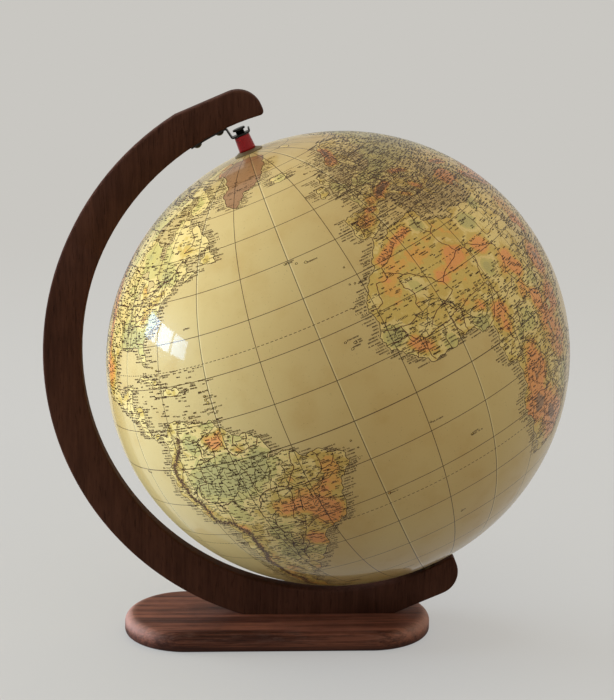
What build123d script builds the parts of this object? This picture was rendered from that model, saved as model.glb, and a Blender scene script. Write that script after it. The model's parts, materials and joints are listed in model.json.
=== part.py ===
import os
from math import asin, cos, degrees, radians, sin, sqrt

from build123d import *

# Sizes in millimetres, angles in degrees.
# The origin is the centre of the base's underside, +X runs towards the globe's side, +Z is up.

# Globe
globe_diameter = 300.0
pole_flattening = 0.03
axis_tilt = 23.5
gore_count = 12
gore_seam = 0.1
paper_thickness = 0.4
glue_line = 0.05
shell_wall = 2.6
joint_ring_height = 24.0
joint_ring_wall = 4.0
post_diameter = 20.0

# Pole fittings
pole_cap_diameter = 18.4
pole_cap_thickness = 0.5
pole_cap_rise = 1.6
pole_cap_hub_margin = 0.8
bush_top_diameter = 9.8
bush_foot_diameter = 10.9
bush_collar_height = 9.7
bush_edge = 0.4
spigot_diameter = 7.0
spigot_length = 22.0
pivot_diameter = 4.0
pivot_depth = 12.0
pin_neck_diameter = 5.4
pin_neck_height = 3.8
pin_head_diameter = 8.2
pin_head_thickness = 1.3
pin_edge = 0.4

# Fits
push_fit = 0.02
seat_gap = 0.05
running_fit = 0.05
running_gap = 0.35

# Arm
arm_gap = 11.1
arm_width = 23.9
arm_thickness = 12.5
arm_lift = 4.3
arm_shift = 2.1
arm_outer_drop = 1.6
arm_outer_shift = 1.5
arm_end_reach = 18.9
arm_end_depth = 19.9
arm_end_rounding = 0.8
arm_corner_radius = 2.5
arm_arris = 1.5
foot_cut = 9.3

# Upper strip and its screws
strip_thickness = 1.0
strip_width = 9.0
strip_bend_radius = 1.2
strip_tail_reach = 32.0
strip_step_reach = 7.3
strip_platform_reach = 6.0
strip_lip_reach = 5.9
strip_lip_height = 2.4
strip_screw_reaches = (11.8, 27.5)
strip_screw_diameter = 3.0
strip_screw_length = 14.0
strip_screw_head_diameter = 5.8
strip_screw_head_height = 2.0
strip_hole_clearance = 0.2

# Lower washer
washer_diameter = 9.0
washer_thickness = 1.2
washer_recess = 0.5

# Base
base_length = 204.0
base_depth = 82.6
base_thickness = 12.4
base_top_radius = 6.0
base_bottom_radius = 2.0
felt_thickness = 1.0
felt_inset = 3.5
globe_reach = 37.3
base_screw_positions = (2.0, 48.0)
base_screw_diameter = 4.0
base_screw_head_diameter = 8.0
base_screw_head_recess = 0.3
base_screw_depth_in_arm = 12.0
base_hole_clearance = 0.2

# Worked-out sizes
globe_radius = globe_diameter / 2
pole_radius = globe_radius * (1 - pole_flattening)
shell_inset = paper_thickness + glue_line
fill_inset = shell_inset + shell_wall + glue_line
cap_seat = pole_radius + pole_cap_rise
spigot_hole_radius = spigot_diameter / 2 + push_fit
bush_top = cap_seat + bush_collar_height
platform_low = bush_top + running_gap
platform_high = platform_low + strip_thickness

arm_inner_radius = globe_radius + arm_gap
arm_outer_radius = arm_inner_radius + arm_width
arm_outer_lift = arm_lift - arm_outer_drop
arm_outer_side = arm_shift + arm_outer_shift
arm_north = arm_lift + sqrt(arm_inner_radius**2 - arm_shift**2)
arm_south = sqrt(arm_inner_radius**2 - arm_shift**2) - arm_lift
arm_end_radius = arm_end_rounding * arm_end_depth
strip_face_radius = arm_inner_radius - strip_thickness - 2 * seat_gap
washer_seat = arm_south + washer_recess
south_bush_end = washer_seat - washer_thickness - running_gap

base_top = felt_thickness + base_thickness
tilt = radians(axis_tilt)
arm_outer_rise = arm_outer_lift * cos(tilt) - arm_outer_side * sin(tilt)
globe_height = base_top - foot_cut + arm_outer_radius - arm_outer_rise

# Axis frame: origin at the globe's centre, +Z to the north pole, -X towards the arm's back
axis_frame = Location((globe_reach, 0, globe_height), (0, -axis_tilt, 0))
far = 4 * arm_outer_radius


def turned(face, sweep_angle=360.0):
    # A profile drawn on the XZ plane, turned about the pole axis
    return revolve(face, Axis.Z, sweep_angle)


def disc(radius, low, high):
    return Pos(0, 0, low) * Cylinder(radius, high - low, align=(Align.CENTER, Align.CENTER, Align.MIN))


def profile(*points):
    return make_face(Plane.XZ * Polyline(*points, close=True))


def oval(inset):
    # Section of the slightly flattened ball, drawn in from the paper's face
    return Ellipse(globe_radius - inset, pole_radius - inset)


def skin_section(outer_inset, inner_inset, low, high, near, reach):
    # Part of a thin skin's section, between two heights and two distances from the pole axis
    window = Pos((near + reach) / 2, (low + high) / 2) * Rectangle(reach - near, high - low)
    return Plane.XZ * ((oval(outer_inset) - oval(inner_inset)) & window)


def gore(index):
    pitch = 360.0 / gore_count
    seam_angle = degrees(gore_seam / globe_radius)
    section = skin_section(0, paper_thickness, -far, far, spigot_hole_radius, far)
    return Rot(0, 0, index * pitch + seam_angle / 2) * turned(section, pitch - seam_angle)


def hemisphere():
    return turned(skin_section(shell_inset, shell_inset + shell_wall, 0, far, spigot_hole_radius, far))


def equator_ring():
    edge_height = joint_ring_height / 2
    edge_radius = (globe_radius - fill_inset) * sqrt(1 - (edge_height / (pole_radius - fill_inset)) ** 2)
    inner_radius = edge_radius - joint_ring_wall
    band = Pos((inner_radius + far) / 2, 0) * Rectangle(far - inner_radius, joint_ring_height)
    return turned(Plane.XZ * (oval(fill_inset) & band))


def centre_post():
    half = Pos(post_diameter / 4, 0) * Rectangle(post_diameter / 2, far)
    post = turned(Plane.XZ * (oval(fill_inset) & half))
    for side in (0, 180):
        post -= Rot(side, 0, 0) * disc(spigot_hole_radius, cap_seat - spigot_length - push_fit, cap_seat)
    return post


def pole_cap():
    # Dished disc: a flat hub under the bush, a sloping skirt whose rim rests on the paper
    rim = pole_cap_diameter / 2
    hub = bush_foot_diameter / 2 + pole_cap_hub_margin
    rim_low = pole_radius * sqrt(1 - (rim / globe_radius) ** 2) + glue_line
    section = profile(
        (spigot_hole_radius, cap_seat - pole_cap_thickness),
        (hub, cap_seat - pole_cap_thickness),
        (rim, rim_low),
        (rim, rim_low + pole_cap_thickness),
        (hub, cap_seat),
        (spigot_hole_radius, cap_seat),
    )
    return turned(section)


def bush(collar_end, bore_radius, bore_depth):
    # Spigot in the post, tapered collar outside the pole disc, blind bore from the collar's end
    body = profile(
        (0, cap_seat - spigot_length),
        (spigot_diameter / 2, cap_seat - spigot_length),
        (spigot_diameter / 2, cap_seat),
        (bush_foot_diameter / 2, cap_seat),
        (bush_top_diameter / 2, collar_end),
        (0, collar_end),
    )
    solid = turned(body)
    rim = solid.edges().filter_by(GeomType.CIRCLE).group_by(Axis.Z)[-1]
    solid = fillet(rim, bush_edge)
    return solid - disc(bore_radius, collar_end - bore_depth, collar_end)


def north_bush():
    return bush(bush_top, pivot_diameter / 2 + push_fit, pivot_depth)


def south_bush():
    return Rot(180, 0, 0) * bush(south_bush_end, pivot_diameter / 2 + running_fit, pivot_depth)


def north_pin():
    head_low = bush_top + pin_neck_height
    head_high = head_low + pin_head_thickness
    shank = disc(pivot_diameter / 2, bush_top - pivot_depth + pin_edge, bush_top)
    neck = disc(pin_neck_diameter / 2, bush_top, head_low)
    head = disc(pin_head_diameter / 2, head_low, head_high)
    head = fillet(head.edges().filter_by(GeomType.CIRCLE), pin_edge)
    return shank + neck + head


def south_pin():
    tip = south_bush_end - pivot_depth + 2 * pin_edge
    root = washer_seat + pivot_depth
    pin = disc(pivot_diameter / 2, tip, root)
    pin = chamfer(pin.edges().filter_by(GeomType.CIRCLE).group_by(Axis.Z)[0], pin_edge)
    return Rot(180, 0, 0) * pin


def thrust_washer():
    low = washer_seat - washer_thickness
    ring = disc(washer_diameter / 2, low, washer_seat)
    ring -= disc(pivot_diameter / 2 + push_fit, low, washer_seat)
    return Rot(180, 0, 0) * ring


def arc_point(radius, reach):
    # A point on a circle about the arm's inner centre, at a distance across from the pole axis
    across = reach - arm_shift
    return Vector(-reach, 0, arm_lift + sqrt(radius**2 - across**2))


def strip_screw_places():
    places = []
    for reach in strip_screw_reaches:
        point = arc_point(strip_face_radius, reach)
        turn = degrees(asin((reach - arm_shift) / strip_face_radius))
        places.append(Location(point, (0, -turn, 0)))
    return places


def spring_strip():
    radius = arm_inner_radius - seat_gap - strip_thickness / 2
    mid_height = platform_low + strip_thickness / 2
    tail = arc_point(radius, strip_tail_reach)
    bend = arc_point(radius, strip_step_reach + 2 * strip_bend_radius)
    half_way = arc_point(radius, (strip_tail_reach + strip_step_reach) / 2)
    seat = ThreePointArc(tail, half_way, bend)
    run_on = bend + (seat % 1) * (2 * strip_bend_radius)
    leg = FilletPolyline(
        bend,
        run_on,
        (-strip_platform_reach, 0, mid_height),
        (strip_lip_reach, 0, mid_height),
        (strip_lip_reach, 0, mid_height + strip_lip_height),
        radius=strip_bend_radius,
    )
    path = Wire([*seat.edges(), *leg.edges()])
    section = Plane(tail, x_dir=(0, 1, 0), z_dir=seat % 0) * Rectangle(strip_width, strip_thickness)
    strip = sweep(section, path=path)
    pin_hole = pin_neck_diameter / 2 + running_fit
    strip -= disc(pin_hole, platform_low - strip_thickness, platform_high + strip_thickness)
    hole = strip_screw_diameter / 2 + strip_hole_clearance
    for place in strip_screw_places():
        strip -= place * disc(hole, -strip_thickness, 2 * strip_thickness)
    return strip


def strip_screws():
    head_radius = strip_screw_head_diameter / 2
    dome_radius = (head_radius**2 + strip_screw_head_height**2) / (2 * strip_screw_head_height)
    dome = Pos(0, 0, dome_radius - strip_screw_head_height) * Sphere(dome_radius)
    head = dome & disc(head_radius, -strip_screw_head_height, 0)
    shank = disc(strip_screw_diameter / 2, 0, strip_screw_length)
    screw = head + chamfer(shank.edges().sort_by(Axis.Z)[-1], strip_screw_diameter / 4)
    return Compound(children=[place * screw for place in strip_screw_places()])


def arm_outline():
    # Eccentric ring, stopped past the axis, both ends cut square to the axis
    inner = Pos(-arm_shift, arm_lift) * Circle(arm_inner_radius)
    outer = Pos(-arm_outer_side, arm_outer_lift) * Circle(arm_outer_radius)
    height = arm_north + arm_south + 2 * arm_end_depth
    window = Pos(arm_end_reach - far / 2, (arm_north - arm_south) / 2) * Rectangle(far, height)
    face = (outer - inner) & window
    ends = face.vertices().group_by(Axis.X)[-1].sort_by(Axis.Y)
    heel_corner, heel_inner, tip_inner, tip_corner = ends
    face = fillet(tip_corner, arm_end_radius)
    face = fillet(nearest(face, heel_corner), arm_end_radius)
    face = fillet(nearest(face, heel_inner), arm_corner_radius)
    return fillet(nearest(face, tip_inner), arm_corner_radius)


def nearest(shape, point):
    return shape.vertices().sort_by_distance(point)[0]


def base_screw_places():
    return [Location((x, 0, felt_thickness)) for x in base_screw_positions]


def meridian_arm():
    blank = extrude(Plane.XZ * arm_outline(), arm_thickness / 2, both=True)
    faces = blank.faces().filter_by(Axis.Y)
    blank = fillet([edge for face in faces for edge in face.edges()], arm_arris)
    pilot = disc(strip_screw_diameter / 2 + push_fit, 0, strip_screw_length + push_fit)
    for place in strip_screw_places():
        blank -= place * pilot
    pin_root = washer_seat + pivot_depth + push_fit
    blank -= Rot(180, 0, 0) * disc(pivot_diameter / 2 + push_fit, globe_radius, pin_root)
    blank -= Rot(180, 0, 0) * disc(washer_diameter / 2 + running_fit, globe_radius, washer_seat)
    arm = axis_frame * blank
    arm -= Pos(0, 0, base_top) * Box(far, far, far, align=(Align.CENTER, Align.CENTER, Align.MAX))
    depth = base_thickness + base_screw_depth_in_arm
    for place in base_screw_places():
        arm -= place * disc(base_screw_diameter / 2 + push_fit, 0, depth + push_fit)
    return arm


def base_screw_head(clearance):
    # Countersunk head, its flat face recessed into the base's underside
    top = base_screw_head_recess
    wide = base_screw_head_diameter / 2 + clearance
    narrow = base_screw_diameter / 2 + clearance
    return profile((0, top), (wide, top), (narrow, top + wide - narrow), (0, top + wide - narrow))


def base_plate():
    plate = extrude(SlotOverall(base_length, base_depth), base_thickness)
    plate = fillet(plate.edges().group_by(Axis.Z)[-1], base_top_radius)
    plate = fillet(plate.edges().group_by(Axis.Z)[0], base_bottom_radius)
    plate = Pos(0, 0, felt_thickness) * plate
    hole = disc(base_screw_diameter / 2 + base_hole_clearance, 0, base_thickness)
    mouth = disc(base_screw_head_diameter / 2 + base_hole_clearance, 0, base_screw_head_recess)
    for place in base_screw_places():
        plate -= place * (hole + mouth + turned(base_screw_head(base_hole_clearance)))
    return plate


def base_screws():
    length = base_thickness + base_screw_depth_in_arm
    shank = disc(base_screw_diameter / 2, base_screw_head_recess, length)
    shank = chamfer(shank.edges().sort_by(Axis.Z)[-1], base_screw_diameter / 4)
    screw = shank + turned(base_screw_head(0))
    return Compound(children=[place * screw for place in base_screw_places()])


def base_felt():
    return extrude(SlotOverall(base_length - 2 * felt_inset, base_depth - 2 * felt_inset), felt_thickness)


def axis_parts():
    parts = {f"gore_{index + 1:02d}": gore(index) for index in range(gore_count)}
    parts["north_hemisphere"] = hemisphere()
    parts["south_hemisphere"] = Rot(180, 0, 0) * hemisphere()
    parts["equator_ring"] = equator_ring()
    parts["centre_post"] = centre_post()
    parts["north_cap"] = pole_cap()
    parts["south_cap"] = Rot(180, 0, 0) * pole_cap()
    parts["north_bush"] = north_bush()
    parts["south_bush"] = south_bush()
    parts["north_pin"] = north_pin()
    parts["south_pin"] = south_pin()
    parts["thrust_washer"] = thrust_washer()
    parts["spring_strip"] = spring_strip()
    parts["strip_screws"] = strip_screws()
    return {name: axis_frame * shape for name, shape in parts.items()}


def all_parts():
    parts = axis_parts()
    parts["meridian_arm"] = meridian_arm()
    parts["base_plate"] = base_plate()
    parts["base_screws"] = base_screws()
    parts["base_felt"] = base_felt()
    return parts


os.makedirs("parts", exist_ok=True)
for name, shape in all_parts().items():
    export_step(shape, f"parts/{name}.step")
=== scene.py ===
import json
import math
import random

import bmesh
import bpy
import numpy
from mathutils import Matrix, Vector, geometry


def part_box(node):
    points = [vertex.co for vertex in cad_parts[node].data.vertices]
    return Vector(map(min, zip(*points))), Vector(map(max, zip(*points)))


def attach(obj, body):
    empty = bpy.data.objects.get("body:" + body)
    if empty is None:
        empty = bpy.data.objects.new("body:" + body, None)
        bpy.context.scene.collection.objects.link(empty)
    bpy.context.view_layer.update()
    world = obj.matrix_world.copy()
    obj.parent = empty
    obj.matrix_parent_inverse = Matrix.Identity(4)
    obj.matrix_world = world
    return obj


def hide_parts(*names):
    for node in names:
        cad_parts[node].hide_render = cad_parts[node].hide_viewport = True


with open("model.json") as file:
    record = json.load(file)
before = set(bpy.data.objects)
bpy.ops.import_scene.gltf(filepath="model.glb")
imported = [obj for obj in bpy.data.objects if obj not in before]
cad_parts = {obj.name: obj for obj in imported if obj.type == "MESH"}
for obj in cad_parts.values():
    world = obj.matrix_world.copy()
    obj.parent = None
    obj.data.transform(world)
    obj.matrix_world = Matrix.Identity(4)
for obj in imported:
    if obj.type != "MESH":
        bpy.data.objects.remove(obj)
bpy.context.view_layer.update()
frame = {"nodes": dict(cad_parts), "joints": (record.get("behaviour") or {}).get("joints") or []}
nodes = frame["nodes"]
print("frame loaded:", len(nodes), "nodes")


def tone(red, green, blue):  # screen colour, 0 to 255, as linear light
    parts = [c / 255 for c in (red, green, blue)]
    return tuple(c / 12.92 if c < 0.04 else ((c + 0.055) / 1.055) ** 2.4 for c in parts) + (1.0,)


def put(tree, kind, inputs=None, **settings):  # a node with its settings, its values and its links
    node = tree.nodes.new(kind)
    for key, value in settings.items():
        setattr(node, key, value)
    for key, value in (inputs or {}).items():
        if isinstance(value, bpy.types.NodeSocket):
            tree.links.new(value, node.inputs[key])
        else:
            node.inputs[key].default_value = value
    return node


def calc(tree, operation, a, b=0.0, c=0.0):
    return put(tree, "ShaderNodeMath", {0: a, 1: b, 2: c}, operation=operation).outputs[0]


def blend(tree, factor, a, b, mode="MIX"):
    return put(tree, "ShaderNodeMix", {0: factor, 6: a, 7: b}, data_type="RGBA", blend_type=mode).outputs[2]


def spread(tree, value, low, high, start=0.0, end=1.0):  # smooth step between two values
    inputs = {"Value": value, "From Min": low, "From Max": high, "To Min": start, "To Max": end}
    return put(tree, "ShaderNodeMapRange", inputs, interpolation_type="SMOOTHSTEP").outputs[0]


def layers(tree, value, stops, edge):  # flat tints that meet in narrow edges
    colour = stops[0][1]
    for start, tint in stops[1:]:
        colour = blend(tree, spread(tree, value, start - edge, start + edge), colour, tint)
    return colour


def objectPlace(tree, scale=(1, 1, 1)):
    coords = put(tree, "ShaderNodeTexCoord")
    return put(tree, "ShaderNodeMapping", {"Vector": coords.outputs["Object"], "Scale": scale}).outputs[0]


def cloud(tree, place, scale, detail=4.0, rough=0.55, warp=0.0):
    inputs = {"Vector": place, "Scale": scale, "Detail": detail, "Roughness": rough, "Distortion": warp}
    return put(tree, "ShaderNodeTexNoise", inputs).outputs[0]


def newGroup(name, inputs, outputs):  # shader node group with named sockets
    tree = bpy.data.node_groups.new(name, "ShaderNodeTree")
    for label, kind, value in inputs:
        socket = tree.interface.new_socket(label, in_out="INPUT", socket_type="NodeSocket" + kind)
        socket.default_value = value
    for label, kind in outputs:
        tree.interface.new_socket(label, in_out="OUTPUT", socket_type="NodeSocket" + kind)
    return tree, tree.nodes.new("NodeGroupInput").outputs, tree.nodes.new("NodeGroupOutput").inputs


def useGroup(tree, group, inputs):
    return put(tree, "ShaderNodeGroup", inputs, node_tree=group).outputs


def newMaterial(name, **values):  # Principled shader, its plain values set on its own sockets
    material = bpy.data.materials.new(name)
    material.use_nodes = True
    tree = material.node_tree
    shader = tree.nodes["Principled BSDF"]
    for key, value in values.items():
        shader.inputs[key.replace("_", " ")].default_value = value
    return material, tree, shader.inputs


def bump(tree, height, strength, distance):
    inputs = {"Height": height, "Strength": strength, "Distance": distance}
    return put(tree, "ShaderNodeBump", inputs).outputs[0]


# Shared finishes; broad, blotch, speck and the like are noise scales

agedPaper = {
    "broad": 7.0,
    "blotch": 55.0,
    "speck": 900.0,
    "blotchShare": 0.35,  # of the stain, the rest is broad
    "speckTone": tone(96, 66, 34),
    "speckStrength": 0.25,
    "roughness": (0.3, 0.42),
}


def makePaperAge():  # yellowed varnish: broad stains, small blotches, fine specks
    tree, given, out = newGroup(
        "paperAge",
        [("Colour", "Color", (1, 1, 1, 1)), ("Stain", "Color", (1, 1, 1, 1)), ("Amount", "Float", 0.5)],
        [("Colour", "Color"), ("Roughness", "Float")],
    )
    place = objectPlace(tree)
    broad = spread(tree, cloud(tree, place, agedPaper["broad"], 3.0), 0.35, 0.7)
    blotch = spread(tree, cloud(tree, place, agedPaper["blotch"], 5.0), 0.45, 0.75)
    speck = spread(tree, cloud(tree, place, agedPaper["speck"], 2.0), 0.66, 0.74)
    share = agedPaper["blotchShare"]
    stain = calc(tree, "MULTIPLY_ADD", blotch, share, calc(tree, "MULTIPLY", broad, 1 - share))
    stain = calc(tree, "MULTIPLY", stain, given["Amount"])
    colour = blend(tree, stain, given["Colour"], given["Stain"], "MULTIPLY")
    specked = calc(tree, "MULTIPLY", speck, agedPaper["speckStrength"])
    tree.links.new(blend(tree, specked, colour, agedPaper["speckTone"]), out["Colour"])
    tree.links.new(spread(tree, blotch, 0.0, 1.0, *agedPaper["roughness"]), out["Roughness"])
    return tree


printedNet = {
    "east": 15.0,  # degrees between meridians
    "north": 10.0,  # degrees between parallels
    "line": 0.44,  # mm
    "equator": 1.3,  # times as thick
    "dashed": (23.45, 66.55),  # tropics and polar circles
    "dash": (0.6, 0.36),  # half of a dash with its gap, half of the dash, degrees
    "lipAndHighlight": (0.2, 0.4, 0.8, 1.2),  # a gore's raised edge, bumped and lighter with a painted highlight, begins, is full, falls, ends, mm
}


def makeGraticule():  # printed net of parallels and meridians, from the longitude and latitude on the paper
    tree, given, out = newGroup(
        "graticule",
        [("Degrees east", "Float", printedNet["east"]), ("Degrees north", "Float", printedNet["north"]),
         ("Line", "Float", printedNet["line"])],
        [("Net", "Float"), ("Seam", "Float")],
    )
    lonLat = put(tree, "ShaderNodeAttribute", attribute_name="lonLat").outputs["Vector"]
    parts = put(tree, "ShaderNodeSeparateXYZ", {0: lonLat}).outputs
    lon, lat = parts[0], parts[1]
    alongScale = calc(tree, "MULTIPLY", calc(tree, "COSINE", calc(tree, "RADIANS", lat)), mmPerDegree)
    across = calc(tree, "PINGPONG", lon, calc(tree, "DIVIDE", given[0], 2.0))
    upward = calc(tree, "PINGPONG", lat, calc(tree, "DIVIDE", given[1], 2.0))
    half = calc(tree, "DIVIDE", given["Line"], 2.0)

    def nearLine(distance, width):  # 1 on the line, 0 past its edge
        return calc(tree, "LESS_THAN", distance, width)

    meridians = nearLine(calc(tree, "MULTIPLY", across, alongScale), half)
    parallels = nearLine(calc(tree, "MULTIPLY", upward, mmPerDegree), half)
    net = calc(tree, "MAXIMUM", meridians, parallels)
    height = calc(tree, "ABSOLUTE", lat)
    thick = calc(tree, "MULTIPLY", half, printedNet["equator"])
    equator = nearLine(calc(tree, "MULTIPLY", height, mmPerDegree), thick)
    net = calc(tree, "MAXIMUM", net, equator)
    period, inked = printedNet["dash"]
    dash = nearLine(calc(tree, "PINGPONG", lon, period), inked)
    for circle in printedNet["dashed"]:
        gap = calc(tree, "ABSOLUTE", calc(tree, "SUBTRACT", height, circle))
        line = nearLine(calc(tree, "MULTIPLY", gap, mmPerDegree), half)
        net = calc(tree, "MAXIMUM", net, calc(tree, "MULTIPLY", line, dash))
    # the band east of each seam: a raised lip for the bump, and the mask of a painted highlight
    turned = calc(tree, "FLOORED_MODULO", lon, goreDegrees)
    past = calc(tree, "MULTIPLY", turned, alongScale)  # mm past a seam
    begin, full, fall, end = printedNet["lipAndHighlight"]
    lipAndHighlight = calc(tree, "MULTIPLY", spread(tree, past, begin, full), spread(tree, past, fall, end, 1.0, 0.0))
    tree.links.new(net, out["Net"])
    tree.links.new(lipAndHighlight, out["Seam"])
    return tree


stainedGrain = {"streak": 26.0, "fine": 150.0, "pore": 420.0, "mottle": 30.0, "fineShare": 0.7,
                "roughness": (0.34, 0.5)}


def makeWoodGrain():  # stained wood: long streaks, open pores, a mottled stain
    tree, given, out = newGroup(
        "woodGrain",
        [
            ("Light", "Color", (1, 1, 1, 1)),
            ("Dark", "Color", (0, 0, 0, 1)),
            ("Pore", "Color", (0, 0, 0, 1)),
            ("Place", "Vector", (0, 0, 0)),
            ("Streaks", "Float", 0.5),
            ("Pores", "Float", 0.5),
            ("Mottle", "Float", 0.6),
        ],
        [("Colour", "Color"), ("Height", "Float"), ("Roughness", "Float")],
    )
    streak = cloud(tree, given["Place"], stainedGrain["streak"], 6.0, 0.6, 0.4)
    fine = cloud(tree, given["Place"], stainedGrain["fine"], 4.0, 0.6)
    pore = spread(tree, cloud(tree, given["Place"], stainedGrain["pore"], 2.0), 0.57, 0.7)
    mottle = cloud(tree, objectPlace(tree), stainedGrain["mottle"], 4.0)
    mixed = 0.5
    for pattern, share in (
        (streak, given["Streaks"]), (fine, stainedGrain["fineShare"]), (mottle, given["Mottle"]),
    ):
        mixed = calc(tree, "MULTIPLY_ADD", calc(tree, "SUBTRACT", pattern, 0.5), share, mixed)
    colour = blend(tree, spread(tree, mixed, 0.25, 0.75), given["Dark"], given["Light"])
    shade = calc(tree, "MULTIPLY", pore, given["Pores"])
    tree.links.new(blend(tree, shade, colour, given["Pore"]), out["Colour"])
    tree.links.new(calc(tree, "SUBTRACT", fine, shade), out["Height"])
    tree.links.new(spread(tree, fine, 0.3, 0.7, *stainedGrain["roughness"]), out["Roughness"])
    return tree


handled = {"patch": 260.0, "speck": 1600.0, "bump": (0.1, 0.0002)}


def makeScuff():  # handled surface: cloudy dulling, rubbed specks
    tree, given, out = newGroup(
        "scuff",
        [("Colour", "Color", (1, 1, 1, 1)), ("Rubbed", "Color", (1, 1, 1, 1)), ("Amount", "Float", 0.3),
         ("Smooth", "Float", 0.25), ("Dull", "Float", 0.5)],
        [("Colour", "Color"), ("Roughness", "Float"), ("Height", "Float")],
    )
    place = objectPlace(tree)
    patch = cloud(tree, place, handled["patch"], 5.0, 0.65)
    speck = spread(tree, cloud(tree, place, handled["speck"], 3.0), 0.6, 0.72)
    rubbed = calc(tree, "MAXIMUM", spread(tree, patch, 0.55, 0.75), speck)
    worn = calc(tree, "MULTIPLY", rubbed, given["Amount"])
    tree.links.new(blend(tree, worn, given["Colour"], given["Rubbed"]), out["Colour"])
    level = put(tree, "ShaderNodeMapRange", {0: patch, 1: 0.3, 2: 0.7, 3: given["Smooth"], 4: given["Dull"]})
    tree.links.new(level.outputs[0], out["Roughness"])
    tree.links.new(patch, out["Height"])
    return tree


# The globe's place and size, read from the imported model

spin = frame["joints"][0]
centre = Vector(spin["pos_m"])
north = Vector(spin["axis"]).normalized()
side = Vector((0, 1, 0))
outer = side.cross(north)  # away from the arm
goreNames = sorted(name for name in nodes if name.startswith("gore_"))
goreDegrees = 360 / len(goreNames)
equatorRadius = max(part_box(name)[1][1] for name in goreNames)


def poleRadiusFromPaper():  # from the paper's highest point on its oval section
    def heightOf(vertex):
        return (vertex.co - centre).dot(north)

    top = max((v for name in goreNames for v in nodes[name].data.vertices), key=heightOf)
    height = heightOf(top)
    away = ((top.co - centre) - north * height).length
    return height / math.sqrt(1 - (away / equatorRadius) ** 2), away


poleRadius, poleHoleRadius = poleRadiusFromPaper()
mmPerDegree = math.radians(equatorRadius * 1000)
print("globe: equator radius", round(equatorRadius, 4), "pole radius", round(poleRadius, 4))

globeMap = {
    "paperDrop": 0.00007,  # the paper's face lies this far inside the solid's face
    "paperWall": 0.0003,
    "inkLift": 0.00003,  # ink over the paper
    "columnStep": 1.5,  # mesh steps, degrees
    "rowStep": 1.2,
    "chainRings": ((0.75, 0), (1.15, 30)),  # more points round a mountain spot: share of its reach, turn
    "ringPoints": 6,
    "edgeMargin": 0.1,  # kept clear of a gore's edge
    "coastMargin": 0.3,  # coasts are followed this far past it
    "mergeAngle": 1e-6,
    "seamAngle": 0.03,
    "turn": -60.0,  # where longitude 0 lies, degrees from the side away from the arm
    "seed": 11,
    "coastStep": 0.5,
    "coastRough": 0.13,
    "borderRough": 0.07,
    "swayLimit": 0.3,
    "plainSouth": -78.5,  # past this latitude the outline is the drawing's own edge and stays straight
    "openSouth": -78.4,  # and has no coast line
    "smallShape": 8,  # an outline of so few points hides no other coast
    "plainLevel": 0.45,  # relief where no spot lies
    "chainShare": 0.62,  # of a chain's lift, in each of its spots
    "coastWidth": 0.0004,
    "riverWidth": 0.00034,
    "borderWidth": 0.00046,
}


def surfaceFrame(lon, lat):  # point on the solid's face, and the outward, eastward and northward directions
    turn = math.radians(lon + globeMap["turn"])
    rise = math.radians(lat)
    flat = Vector((math.cos(turn), math.sin(turn)))
    point = Vector((equatorRadius * math.cos(rise) * flat.x, equatorRadius * math.cos(rise) * flat.y,
                    poleRadius * math.sin(rise)))
    normal = Vector((point.x / equatorRadius**2, point.y / equatorRadius**2, point.z / poleRadius**2))
    toWorld = Matrix((outer, side, north)).transposed()
    out = (toWorld @ normal).normalized()
    eastward = (toWorld @ Vector((-flat.y, flat.x, 0))).normalized()
    return centre + toWorld @ point, out, eastward, out.cross(eastward)


def onPaper(lon, lat, lift):
    point, out, _, _ = surfaceFrame(lon, lat)
    return point + out * (lift - globeMap["paperDrop"])


# Longitude and latitude of the common world map, drawn coarsely; the coasts are roughened later

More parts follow.
